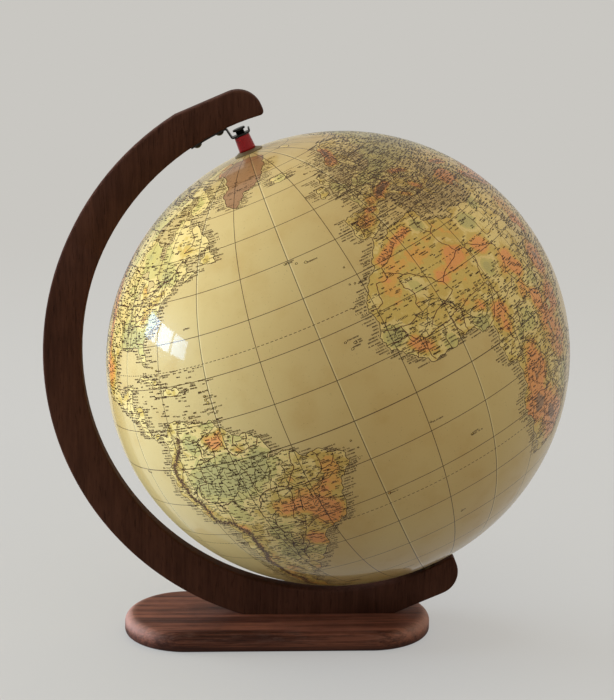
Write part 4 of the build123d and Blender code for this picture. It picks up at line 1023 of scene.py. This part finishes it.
def newTree(name, inputs):
    tree = bpy.data.node_groups.new(name, "GeometryNodeTree")
    tree.interface.new_socket("Geometry", in_out="INPUT", socket_type="NodeSocketGeometry")
    tree.interface.new_socket("Geometry", in_out="OUTPUT", socket_type="NodeSocketGeometry")
    for label, kind in inputs:
        tree.interface.new_socket(label, in_out="INPUT", socket_type="NodeSocket" + kind)
    return tree, tree.nodes.new("NodeGroupInput").outputs, tree.nodes.new("NodeGroupOutput").inputs


def namedVector(tree, name):
    return put(tree, "GeometryNodeInputNamedAttribute", {"Name": name}, data_type="FLOAT_VECTOR").outputs[0]


def grow(name, mesh, tree, values):  # run a tree on a mesh and keep the plain result
    piece = bpy.data.objects.new(name, mesh)
    bpy.context.scene.collection.objects.link(piece)
    modifier = piece.modifiers.new(tree.name, "NODES")
    modifier.node_group = tree
    for item in tree.interface.items_tree:
        if item.item_type == "SOCKET" and item.in_out == "INPUT" and item.name in values:
            modifier[item.identifier] = values[item.name]
    graph = bpy.context.evaluated_depsgraph_get()
    result = bpy.data.meshes.new_from_object(piece.evaluated_get(graph), depsgraph=graph)
    piece.modifiers.remove(modifier)
    bpy.data.objects.remove(piece)
    result.name = name
    return result


def finishTree(tree, shape, ink, out):  # a plain mesh in its ink
    plain = put(tree, "GeometryNodeRealizeInstances", {0: shape}).outputs[0]
    inked = put(tree, "GeometryNodeSetMaterial", {"Geometry": plain, "Material": ink}).outputs[0]
    tree.links.new(inked, out[0])
    return tree


def makeInkTree():  # flat ink ribbon along each line, lying on the paper
    tree, given, out = newTree("inkRibbon", [("Width", "Float"), ("Ink", "Material")])
    curve = put(tree, "GeometryNodeMeshToCurve", {0: given["Geometry"]}).outputs[0]
    facing = {"Curve": curve, "Normal": namedVector(tree, "outward")}
    curve = put(tree, "GeometryNodeSetCurveNormal", facing, mode="FREE").outputs[0]
    half = calc(tree, "MULTIPLY", given["Width"], 0.5)
    start = put(tree, "ShaderNodeCombineXYZ", {1: calc(tree, "MULTIPLY", half, -1.0)}).outputs[0]
    end = put(tree, "ShaderNodeCombineXYZ", {1: half}).outputs[0]
    section = put(tree, "GeometryNodeCurvePrimitiveLine", {"Start": start, "End": end}).outputs[0]
    ribbon = put(tree, "GeometryNodeCurveToMesh", {"Curve": curve, "Profile Curve": section}).outputs[0]
    return finishTree(tree, ribbon, given["Ink"], out)


def lineMesh(name, lines):
    points, outward, edges = [], [], []
    for line in lines:
        first = len(points)
        for lon, lat in line:
            _, out, _, _ = surfaceFrame(lon, lat)
            points.append(onPaper(lon, lat, globeMap["inkLift"]))
            outward.append(out)
        edges += [(i, i + 1) for i in range(first, len(points) - 1)]
    mesh = bpy.data.meshes.new(name)
    mesh.from_pydata(points, edges, [])
    addVectors(mesh, "outward", outward)
    return mesh


def openCoasts(shapes):  # coast pieces that don't run inside another land or along the edge of the drawing
    pieces = []
    for shape in shapes:
        others = [other for other in landShapes if other is not shape and len(other) > globeMap["smallShape"]]
        lon = numpy.array([p[0] for p in shape])
        lat = numpy.array([p[1] for p in shape])
        hidden = lat < globeMap["openSouth"]
        for other in others:
            hidden |= insideShape(other, lon, lat)
        run = []
        for point, gone in zip(shape + shape[:1], [*hidden, hidden[0]]):
            if gone:
                pieces.append(run)
                run = []
            else:
                run.append(point)
        pieces.append(run)
    return [piece for piece in pieces if len(piece) > 1]


inkTree = makeInkTree()


def printLines(name, lines, width, ink):
    mesh = grow(name, lineMesh(name + "Path", lines), inkTree, {"Width": width, "Ink": ink})
    facing = [(centre - face.center).dot(face.normal) > 0 for face in mesh.polygons]
    if sum(facing) * 2 > len(facing):
        mesh.flip_normals()
    mesh.shade_smooth()
    return addObject(name, mesh, "globe", "map_paper")


shores = openCoasts(landShapes) + [lake + lake[:1] for lake in lakeShapes]
printed = [
    printLines("coastLines", shores, globeMap["coastWidth"], coastInk),
    printLines("riverLines", riverLines, globeMap["riverWidth"], riverInk),
    printLines("borderLines", borderLines, globeMap["borderWidth"], borderInk),
]
print("lines printed:", sum(len(piece.data.polygons) for piece in printed), "faces")

# Place marks: rows of short strokes that spell nothing

markLook = {
    "seed": 5,
    "strokeStep": 0.0006,
    "strokeHeight": 0.00105,
    "strokeWidth": 0.00032,
    "lift": 1.5,  # times that of the lines
    "lean": (-0.3, 0.5),
    "wide": (0.7, 1.5),
    "tall": (0.6, 1),
    "missing": 0.1,
    "coastPitch": 0.0017,
    "coastGap": 0.0008,
    "coastTop": 76,  # no words on coasts past this latitude
    "coastProbe": 1.3,  # how far off the coast water is looked for, degrees
    "coastStrokes": (6, 13),
    "islandShare": 0.5,  # words that stay where water lies on both sides
    "landWords": 90000,  # tries, of which those on land or a busy sea and clear of the others may stay
    "belt": (-0.75, 0.95),  # sines of the latitudes between them
    "landStrokes": (4, 10),
    "landScale": (0.75, 1.0),
    "bigShare": 0.05,
    "bigScale": 1.5,
    "rowDegrees": 0.44,
    "cellsPerDegree": 2.5,
    "cellProbes": 6,  # steps along a word at which its cells are taken
    "crowded": [((-11, 45), (35, 68), 1.0), ((-100, -65), (25, 50), 0.42), ((-90, -60), (8, 25), 0.8)],
    "sparse": [((-15, 35), (15, 33), 0.14), ((-60, -20), (60, 84), 0.12), ((-145, -50), (50, 84), 0.19),
               ((-180, 180), (-90, -66), 0.1)],
    "ordinary": 0.55,
    "busySeas": [((-5, 37), (31, 46), 0.8), ((-6, 30), (53, 66), 0.7), ((-88, -60), (9, 24), 0.14),
                 ((-95, -60), (55, 76), 0.25)],
}


def makeMarkTree():
    tree, given, out = newTree("placeMarks", [("Ink", "Material")])
    square = {"Size X": 1.0, "Size Y": 1.0, "Vertices X": 2, "Vertices Y": 2}
    stroke = put(tree, "GeometryNodeMeshGrid", square).outputs[0]
    axes = {"Primary Axis": namedVector(tree, "outward"), "Secondary Axis": namedVector(tree, "eastward")}
    turn = put(tree, "FunctionNodeAxesToRotation", axes, primary_axis="Z", secondary_axis="X").outputs[0]
    size = namedVector(tree, "strokeSize")
    placed = {"Points": given["Geometry"], "Instance": stroke, "Rotation": turn, "Scale": size}
    marks = put(tree, "GeometryNodeInstanceOnPoints", placed).outputs[0]
    return finishTree(tree, marks, given["Ink"], out)


def wordShare(lon, lat, dry):  # how many of the tries stay at a place
    regions = markLook["crowded"] + markLook["sparse"] if dry else markLook["busySeas"]
    for (west, east), (south, top), share in regions:
        if west < lon < east and south < lat < top:
            return share
    return markLook["ordinary"] if dry else 0.0


def wordPlaces(rng):  # start, length and growth of every row of strokes
    stepDegrees = math.degrees(markLook["strokeStep"] / equatorRadius)
    gap = math.degrees(markLook["coastGap"] / equatorRadius)
    anchors = []
    for shape in landShapes:
        walked = 0.0
        for start, end in zip(shape, shape[1:] + shape[:1]):
            walked += math.dist(start, end) * equatorRadius * math.pi / 180
            if walked > markLook["coastPitch"] and abs(start[1]) < markLook["coastTop"]:
                walked = 0.0
                anchors.append(start)
    lon = numpy.array([a[0] for a in anchors])
    lat = numpy.array([a[1] for a in anchors])
    shrink = numpy.cos(numpy.radians(lat))
    probe = markLook["coastProbe"] / shrink
    eastWet = ~isLand(lon + probe, lat)
    westWet = ~isLand(lon - probe, lat)
    words = []
    for i, (x, y) in enumerate(anchors):
        strokes = rng.randint(*markLook["coastStrokes"])
        if eastWet[i] and not westWet[i]:
            words.append((x + gap / shrink[i], y, strokes, 1.0))
        elif westWet[i] and not eastWet[i]:
            words.append((x - (gap + strokes * stepDegrees) / shrink[i], y, strokes, 1.0))
        elif eastWet[i] and rng.random() < markLook["islandShare"]:
            words.append((x + gap / shrink[i], y, strokes, 1.0))
    heights = [math.degrees(math.asin(rng.uniform(*markLook["belt"]))) for _ in range(markLook["landWords"])]
    around = [rng.uniform(-180, 180) for _ in heights]
    for x, y, dry in zip(around, heights, isLand(around, heights)):
        if rng.random() < wordShare(x, y, dry):
            big = rng.random() < markLook["bigShare"]
            strokes = rng.randint(*markLook["landStrokes"])
            scale = markLook["bigScale"] if big else rng.uniform(*markLook["landScale"])
            words.append((x, y, strokes, scale))
    return words, stepDegrees


hachureLook = {"step": 0.00045, "height": 0.0017, "flank": 0.4, "lean": 0.5, "wide": (0.7, 1.2),
               "tall": (0.4, 1.0)}


def hachures(rng):  # short strokes down both flanks of the mountain chains
    strokes = []
    for text, reach, _, share in chains:
        line = roughLine(readPoints(text), rng)
        for start, end in zip(line, line[1:]):
            shrink = math.cos(math.radians(start[1]))
            across, upward = (end[0] - start[0]) * shrink, end[1] - start[1]
            length = math.hypot(across, upward)
            for _ in range(round(math.radians(length) * equatorRadius / hachureLook["step"] * share)):
                part = rng.random()
                off = rng.gauss(0, hachureLook["flank"]) * reach
                lon = start[0] + (across * part - upward / length * off) / shrink
                lat = start[1] + upward * part + across / length * off
                lean = math.atan2(upward, across) + rng.uniform(-hachureLook["lean"], hachureLook["lean"])
                wide = rng.uniform(*hachureLook["wide"])
                strokes.append((lon, lat, lean, wide, rng.uniform(*hachureLook["tall"])))
    return strokes


def wordStrokes(rng):  # longitude, latitude, lean, width and height of every stroke
    words, stepDegrees = wordPlaces(rng)
    taken, strokes = set(), []
    for lon, lat, count, scale in words:
        step = stepDegrees * scale / math.cos(math.radians(lat))
        row = round(lat / markLook["rowDegrees"])
        probes, pitch = markLook["cellProbes"], markLook["cellsPerDegree"]
        cells = {(row, round((lon + step * count * i / probes) * pitch)) for i in range(probes + 1)}
        if cells & taken:
            continue
        taken |= cells
        for i in range(count):
            if rng.random() > markLook["missing"]:
                lean, wide = rng.uniform(*markLook["lean"]), rng.uniform(*markLook["wide"])
                strokes.append((lon + i * step, lat, lean, wide, scale * rng.uniform(*markLook["tall"])))
    return strokes


def makeMarks(name, strokes, height, ink):
    points, outward, eastward, sizes = [], [], [], []
    for lon, lat, lean, wide, tall in strokes:
        _, out, east, up = surfaceFrame(lon, lat)
        points.append(onPaper(lon, lat, globeMap["inkLift"] * markLook["lift"]))
        outward.append(out)
        eastward.append(east * math.cos(lean) + up * math.sin(lean))
        sizes.append((markLook["strokeWidth"] * wide, height * tall, 1))
    mesh = bpy.data.meshes.new(name + "Places")
    mesh.from_pydata(points, [], [])
    for key, values in (("outward", outward), ("eastward", eastward), ("strokeSize", sizes)):
        addVectors(mesh, key, values)
    addObject(name, grow(name, mesh, markTree, {"Ink": ink}), "globe", "map_paper")
    print(name, len(points), "strokes")


markTree = makeMarkTree()
markRng = random.Random(markLook["seed"])
makeMarks("placeMarks", wordStrokes(markRng), markLook["strokeHeight"], coastInk)
makeMarks("hillMarks", hachures(markRng), hachureLook["height"], hillInk)


# Wood, metal, plastic and felt

armLook = {
    "light": tone(86, 55, 44),
    "dark": tone(62, 38, 30),
    "pore": tone(36, 21, 17),
    "place": (3.2, 3.2, 0.25),  # the grain stands upright
    "streaks": 0.6,
    "pores": 0.5,
    "mottle": 0.35,
    "dull": 0.25,
    "bump": (0.25, 0.0003),
}
baseLook = {
    "light": tone(148, 92, 72),
    "dark": tone(60, 31, 23),
    "pore": tone(28, 15, 11),
    # pale tone of rubbed wear, and of a painted highlight at the ends
    "worn": tone(196, 152, 138),
    # painted shade low on the sides
    "footShade": tone(44, 22, 16),
    "place": (0.14, 5.5, 5.5),  # the grain runs along the base
    "streaks": 1.2,
    "pores": 0.8,
    "mottle": 0.25,
    "dull": 0.15,
    "bump": (0.5, 0.0004),
    "rimWear": (0.001, 0.009),  # full and gone, metres from the outline
    "topWear": (0.009, 0.002),  # gone and full, metres under the top
    "patchWear": 0.14,
    "patchPlace": (0.25, 1.5, 1.5),  # worn patches lie along the grain
    "patchNoise": 220.0,
    "tipWearAndSheen": (0.035, 0.58),  # length at each end, strength; wear there with a painted highlight
    "footShading": (0.9, 0.004),  # painted shade: strength at the foot, gone this far under the top
}


def stainedWood(tree, look):  # the wood grain with one wood's own values
    given = {key.title(): look[key] for key in ("light", "dark", "pore", "streaks", "pores", "mottle")}
    return useGroup(tree, woodGrain, {**given, "Place": objectPlace(tree, look["place"])})


def finishWood(tree, sockets, grain, colour, look):
    tree.links.new(colour, sockets["Base Color"])
    tree.links.new(calc(tree, "ADD", grain["Roughness"], look["dull"]), sockets["Roughness"])
    tree.links.new(bump(tree, grain["Height"], *look["bump"]), sockets["Normal"])


def makeArmWood():
    material, tree, sockets = newMaterial("armWood", Specular_IOR_Level=0.05)
    grain = stainedWood(tree, armLook)
    finishWood(tree, sockets, grain, grain["Colour"], armLook)
    return material


def makeBaseWood():
    material, tree, sockets = newMaterial("baseWood", Specular_IOR_Level=0.16)
    grain = stainedWood(tree, baseLook)
    low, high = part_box("base_plate")
    corner = (high[1] - low[1]) / 2  # the stadium's end radius
    x, y, z = put(tree, "ShaderNodeSeparateXYZ", {0: objectPlace(tree)}).outputs
    along = calc(tree, "ABSOLUTE", x)
    past = calc(tree, "MAXIMUM", calc(tree, "SUBTRACT", along, high[0] - corner), 0.0)
    reach = calc(tree, "SQRT", calc(tree, "MULTIPLY_ADD", past, past, calc(tree, "MULTIPLY", y, y)))
    nearRim = spread(tree, calc(tree, "SUBTRACT", corner, reach), *baseLook["rimWear"], 1.0, 0.0)
    nearTop = spread(tree, z, *(high[2] - depth for depth in baseLook["topWear"]))
    edge = calc(tree, "MULTIPLY", nearRim, nearTop)
    patch = cloud(tree, objectPlace(tree, baseLook["patchPlace"]), baseLook["patchNoise"], 6.0, 0.7)
    patch = spread(tree, patch, 0.45, 0.7)
    tipLength, tipStrength = baseLook["tipWearAndSheen"]
    tipSheenAndWear = spread(tree, along, high[0] - tipLength, high[0], 0.0, tipStrength)  # both ends: handling wear with a painted highlight, strongest at each tip
    # pale: patchy wear along the top edge, and at both ends a painted highlight
    worn = calc(tree, "MULTIPLY", edge, calc(tree, "MULTIPLY_ADD", patch, baseLook["patchWear"], tipSheenAndWear))
    footStrength, footTop = baseLook["footShading"]
    footShade = spread(tree, z, low[2], high[2] - footTop, footStrength, 0.0)  # painted shade, darker low on the sides
    footShaded = blend(tree, footShade, grain["Colour"], baseLook["footShade"])
    finishWood(tree, sockets, grain, blend(tree, worn, footShaded, baseLook["worn"]), baseLook)
    return material


def makeScuffed(name, colour, rubbed, amount, smooth, dull, **values):
    material, tree, sockets = newMaterial(name, **values)
    given = {"Colour": colour, "Rubbed": rubbed, "Amount": amount, "Smooth": smooth, "Dull": dull}
    made = useGroup(tree, scuff, given)
    tree.links.new(made["Colour"], sockets["Base Color"])
    tree.links.new(made["Roughness"], sockets["Roughness"])
    tree.links.new(bump(tree, made["Height"], *handled["bump"]), sockets["Normal"])
    return material


scuffed = {  # name, colour, rubbed colour, amount of rubbing, roughness where smooth and dull, plain values
    "black_steel": ("blackSteel", (40, 38, 36), (120, 112, 104), 0.35, 0.3, 0.5, {"Metallic": 0.8}),
    "steel": ("brightSteel", (150, 148, 144), (190, 188, 184), 0.4, 0.25, 0.4, {"Metallic": 1.0}),
    "washer_brass": ("washerBrass", (92, 72, 44), (136, 112, 70), 0.3, 0.4, 0.6, {"Metallic": 1.0}),
    "bush_plastic": ("redPlastic", (148, 8, 16), (170, 60, 60), 0.1, 0.22, 0.36,
                     {"Specular_IOR_Level": 0.35}),
    "lower_plastic": ("blackPlastic", (34, 30, 28), (70, 64, 60), 0.1, 0.3, 0.5,
                      {"Specular_IOR_Level": 0.3}),
    "cap_metal": ("capMetal", (142, 126, 92), (88, 74, 50), 0.6, 0.35, 0.6, {"Metallic": 0.7}),
    "shell_board": ("shellBoard", (158, 138, 108), (120, 100, 74), 0.5, 0.8, 0.95, {}),
    "post_wood": ("postWood", (190, 156, 108), (150, 114, 72), 0.5, 0.55, 0.8, {}),
}
finishes = {"arm_wood": makeArmWood(), "base_wood": makeBaseWood()}
for slot, (name, colour, rubbed, amount, smooth, dull, values) in scuffed.items():
    finishes[slot] = makeScuffed(name, tone(*colour), tone(*rubbed), amount, smooth, dull, **values)


fitting = {"merge": 2e-6, "sharpAngle": 32.0}


def dress(mesh, finish):
    mesh.materials.clear()
    mesh.materials.append(finishes[finish])


def smoothCopy(node, name, body, slot, finish=None):  # merged copy of a CAD piece, smooth between its edges
    mesh = nodes[node].data.copy()
    mesh.name = name
    work = bmesh.new()
    work.from_mesh(mesh)
    bmesh.ops.remove_doubles(work, verts=work.verts, dist=fitting["merge"])
    work.to_mesh(mesh)
    work.free()
    mesh.shade_smooth()
    mesh.set_sharp_from_angle(angle=math.radians(fitting["sharpAngle"]))
    dress(mesh, finish or slot)
    addObject(name, mesh, body, slot, node)


copies = {  # name, body, slot, and a finish where it isn't the slot's
    "base_plate": ("woodenBase", "stand", "base_wood"),
    "meridian_arm": ("woodenArm", "stand", "arm_wood"),
    "spring_strip": ("springStrip", "stand", "black_steel"),
    "strip_screws": ("stripScrews", "stand", "black_steel"),
    "south_pin": ("southPin", "stand", "steel"),
    "thrust_washer": ("thrustWasher", "stand", "washer_brass"),
    "north_cap": ("northCap", "globe", "cap_metal"),
    "south_cap": ("southCap", "globe", "cap_metal"),
    "north_bush": ("northBush", "globe", "bush_plastic"),
    "south_bush": ("southBush", "globe", "bush_plastic", "lower_plastic"),
    "north_pin": ("northPin", "globe", "black_steel"),
}
for node, values in copies.items():
    smoothCopy(node, *values)
buried = {"north_hemisphere": "shell_board", "south_hemisphere": "shell_board", "equator_ring": "shell_board",
          "centre_post": "post_wood", "base_screws": "steel"}
for node, finish in buried.items():
    dress(nodes[node].data, finish)
print("stand and fittings finished:", len(copies))

feltLook = {
    "colour": tone(54, 62, 48),
    "fibre": tone(96, 104, 84),
    "fibreScale": 1400.0,
    "patchScale": 60.0,
    "patchShare": 0.5,
    "bump": (0.6, 0.0004),
    "edgeSteps": 48,  # round each end
    "round": 0.0003,
}


def makeFeltCloth():
    material, tree, sockets = newMaterial("feltCloth", Roughness=0.95, Specular_IOR_Level=0.1)
    place = objectPlace(tree)
    fibre = cloud(tree, place, feltLook["fibreScale"], 6.0, 0.7, 1.5)
    patch = cloud(tree, place, feltLook["patchScale"], 3.0)
    mixed = calc(tree, "MULTIPLY_ADD", calc(tree, "SUBTRACT", patch, 0.5), feltLook["patchShare"], fibre)
    colour = blend(tree, spread(tree, mixed, 0.35, 0.7), feltLook["colour"], feltLook["fibre"])
    tree.links.new(colour, sockets["Base Color"])
    tree.links.new(bump(tree, fibre, *feltLook["bump"]), sockets["Normal"])
    return material


def makeFelt():  # stadium cut from one sheet, its edges a little rounded
    low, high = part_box("base_felt")
    length, width = high[0] - low[0], high[1] - low[1]
    radius = width / 2
    straight = length / 2 - radius
    steps = feltLook["edgeSteps"]
    ends = [(math.copysign(straight, math.cos(t)), t) for t in
            (math.pi * (2 * i + 1) / (2 * steps) - math.pi / 2 for i in range(2 * steps))]
    work = bmesh.new()
    rings = []
    trim = feltLook["round"]
    for inset, height in ((trim, low[2]), (0, low[2] + trim), (0, high[2] - trim), (trim, high[2])):
        reach = radius - inset
        ring = [(x + reach * math.cos(t), reach * math.sin(t), height) for x, t in ends]
        rings.append([work.verts.new(corner) for corner in ring])
    count = len(ends)
    for below, above in zip(rings, rings[1:]):
        for i in range(count):
            work.faces.new((below[i], below[(i + 1) % count], above[(i + 1) % count], above[i]))
    work.faces.new(list(reversed(rings[0])))
    work.faces.new(rings[-1])
    mesh = bpy.data.meshes.new("feltPad")
    work.to_mesh(mesh)
    work.free()
    mesh.materials.append(makeFeltCloth())
    felt = addObject("feltPad", mesh, "stand", "felt", "base_felt")


makeFelt()
print("felt laid")


# Camera, floor and light

shot = {
    "place": (-0.03982, -1.12213, 0.46569),
    "right": (0.998768, -0.048199, 0.011873),
    "up": (-0.000165, 0.235960, 0.971764),
    "back": (-0.049639, -0.970567, 0.235662),
    "lens": 91.81,
    "sensor": 36.0,
}


def makeCamera():
    data = bpy.data.cameras.new("camera")
    data.sensor_width = shot["sensor"]
    data.lens = shot["lens"]
    camera = bpy.data.objects.new("camera", data)
    turn = Matrix((shot["right"], shot["up"], shot["back"])).transposed().to_4x4()
    camera.matrix_world = Matrix.Translation(shot["place"]) @ turn
    bpy.context.scene.collection.objects.link(camera)
    bpy.context.scene.camera = camera


lightLook = {
    "window": {"place": (-5.56, 0.78, 0.85), "pane": (0.96, 0.75), "pitch": 1.095, "count": 3, "power": 7.5},
    "key": {"place": (-6.07, 1.2, 0.74), "size": (5.0, 1.3), "power": 147.0},
    "fill": {"place": (1.7, -1.2, 0.8), "size": (1.2, 1.2), "power": 0.85},
    "sky": (0.38, 0.63, 1.0),
    "cool": (0.75, 0.875, 1.03),
    "warm": (1.0, 0.95, 0.82),
    "spread": 80.0,  # how far the lamps fan out, degrees
    "world": 0.44,  # near the floor
    "overhead": 0.4,  # what the sky gains towards the top
    "backdrop": tone(201, 199, 194),
}

floorLook = {
    "colour": tone(146, 144, 140),
    "mottle": tone(128, 126, 122),
    "mottleShare": 0.06,
    "mottleNoise": 3.0,
    "glow": tone(162, 162, 162),
    "fade": (0.5, 1.6),  # the distances over which the paint turns into the plain backdrop
    "size": 40.0,
}


def seenRays(tree):  # 1 where the camera, a mirror or glass looks
    rays = put(tree, "ShaderNodeLightPath").outputs
    mirrored = calc(tree, "MAXIMUM", rays["Is Glossy Ray"], rays["Is Transmission Ray"])
    return calc(tree, "MAXIMUM", rays["Is Camera Ray"], mirrored)


def makeFloor():
    half = floorLook["size"] / 2
    corners = [(-half, -half, 0), (half, -half, 0), (half, half, 0), (-half, half, 0)]
    mesh = bpy.data.meshes.new("floor")
    mesh.from_pydata(corners, [], [(0, 1, 2, 3)])
    plain = {"Roughness": 0.8, "Specular_IOR_Level": 0.0, "Emission_Strength": 1.0}
    material, tree, sockets = newMaterial("floorPaint", **plain)
    place = objectPlace(tree)
    away = put(tree, "ShaderNodeVectorMath", {0: place}, operation="LENGTH").outputs["Value"]
    far = spread(tree, away, *floorLook["fade"])
    glow = blend(tree, far, floorLook["glow"], lightLook["backdrop"])
    tree.links.new(blend(tree, seenRays(tree), tone(0, 0, 0), glow), sockets["Emission Color"])
    soft = cloud(tree, place, floorLook["mottleNoise"], 3.0)
    soft = spread(tree, soft, 0.3, 0.7, 0.0, floorLook["mottleShare"])
    paint = blend(tree, soft, floorLook["colour"], floorLook["mottle"])
    tree.links.new(blend(tree, far, paint, tone(0, 0, 0)), sockets["Base Color"])
    mesh.materials.append(material)
    floor = bpy.data.objects.new("floor", mesh)
    bpy.context.scene.collection.objects.link(floor)


def areaLight(name, place, size, power, aim, colour):
    data = bpy.data.lights.new(name, "AREA")
    data.shape = "RECTANGLE"
    data.size, data.size_y = size
    data.energy = power
    data.color = colour
    data.spread = math.radians(lightLook["spread"])
    lamp = bpy.data.objects.new(name, data)
    lamp.location = place
    lamp.rotation_euler = (aim - Vector(place)).to_track_quat("-Z", "Y").to_euler()
    bpy.context.scene.collection.objects.link(lamp)
    return lamp


def makeLights():
    window = lightLook["window"]
    middle = Vector(window["place"])
    along = Vector((0, 0, 1)).cross(middle - centre).normalized()
    for i in range(window["count"]):  # a row of panes, seen in the varnish
        offset = along * window["pitch"] * (i - (window["count"] - 1) / 2)
        place = middle + offset
        areaLight(f"pane{i + 1}", place, window["pane"], window["power"], centre + offset, lightLook["sky"])
    for name, colour in (("key", "cool"), ("fill", "warm")):
        look = lightLook[name]
        lamp = areaLight(name, look["place"], look["size"], look["power"], centre, lightLook[colour])
        lamp.visible_glossy = False


def makeWorld():
    world = bpy.data.worlds.new("studio")
    bpy.context.scene.world = world
    world.use_nodes = True
    tree = world.node_tree
    tree.nodes.clear()
    aim = put(tree, "ShaderNodeTexCoord").outputs["Generated"]
    above = calc(tree, "MAXIMUM", put(tree, "ShaderNodeSeparateXYZ", {0: aim}).outputs["Z"], 0.0)
    level = calc(tree, "MULTIPLY_ADD", above, lightLook["overhead"], lightLook["world"])
    sky = {"Color": (*lightLook["warm"], 1), "Strength": level}
    ambient = put(tree, "ShaderNodeBackground", sky).outputs[0]
    backdrop = put(tree, "ShaderNodeBackground", {"Color": lightLook["backdrop"], "Strength": 1.0}).outputs[0]
    mixed = put(tree, "ShaderNodeMixShader", {0: seenRays(tree), 1: ambient, 2: backdrop}).outputs[0]
    put(tree, "ShaderNodeOutputWorld", {"Surface": mixed})


makeCamera()
makeFloor()
makeWorld()
makeLights()
bpy.context.scene.view_settings.view_transform = "Standard"
print("camera, floor and light set")
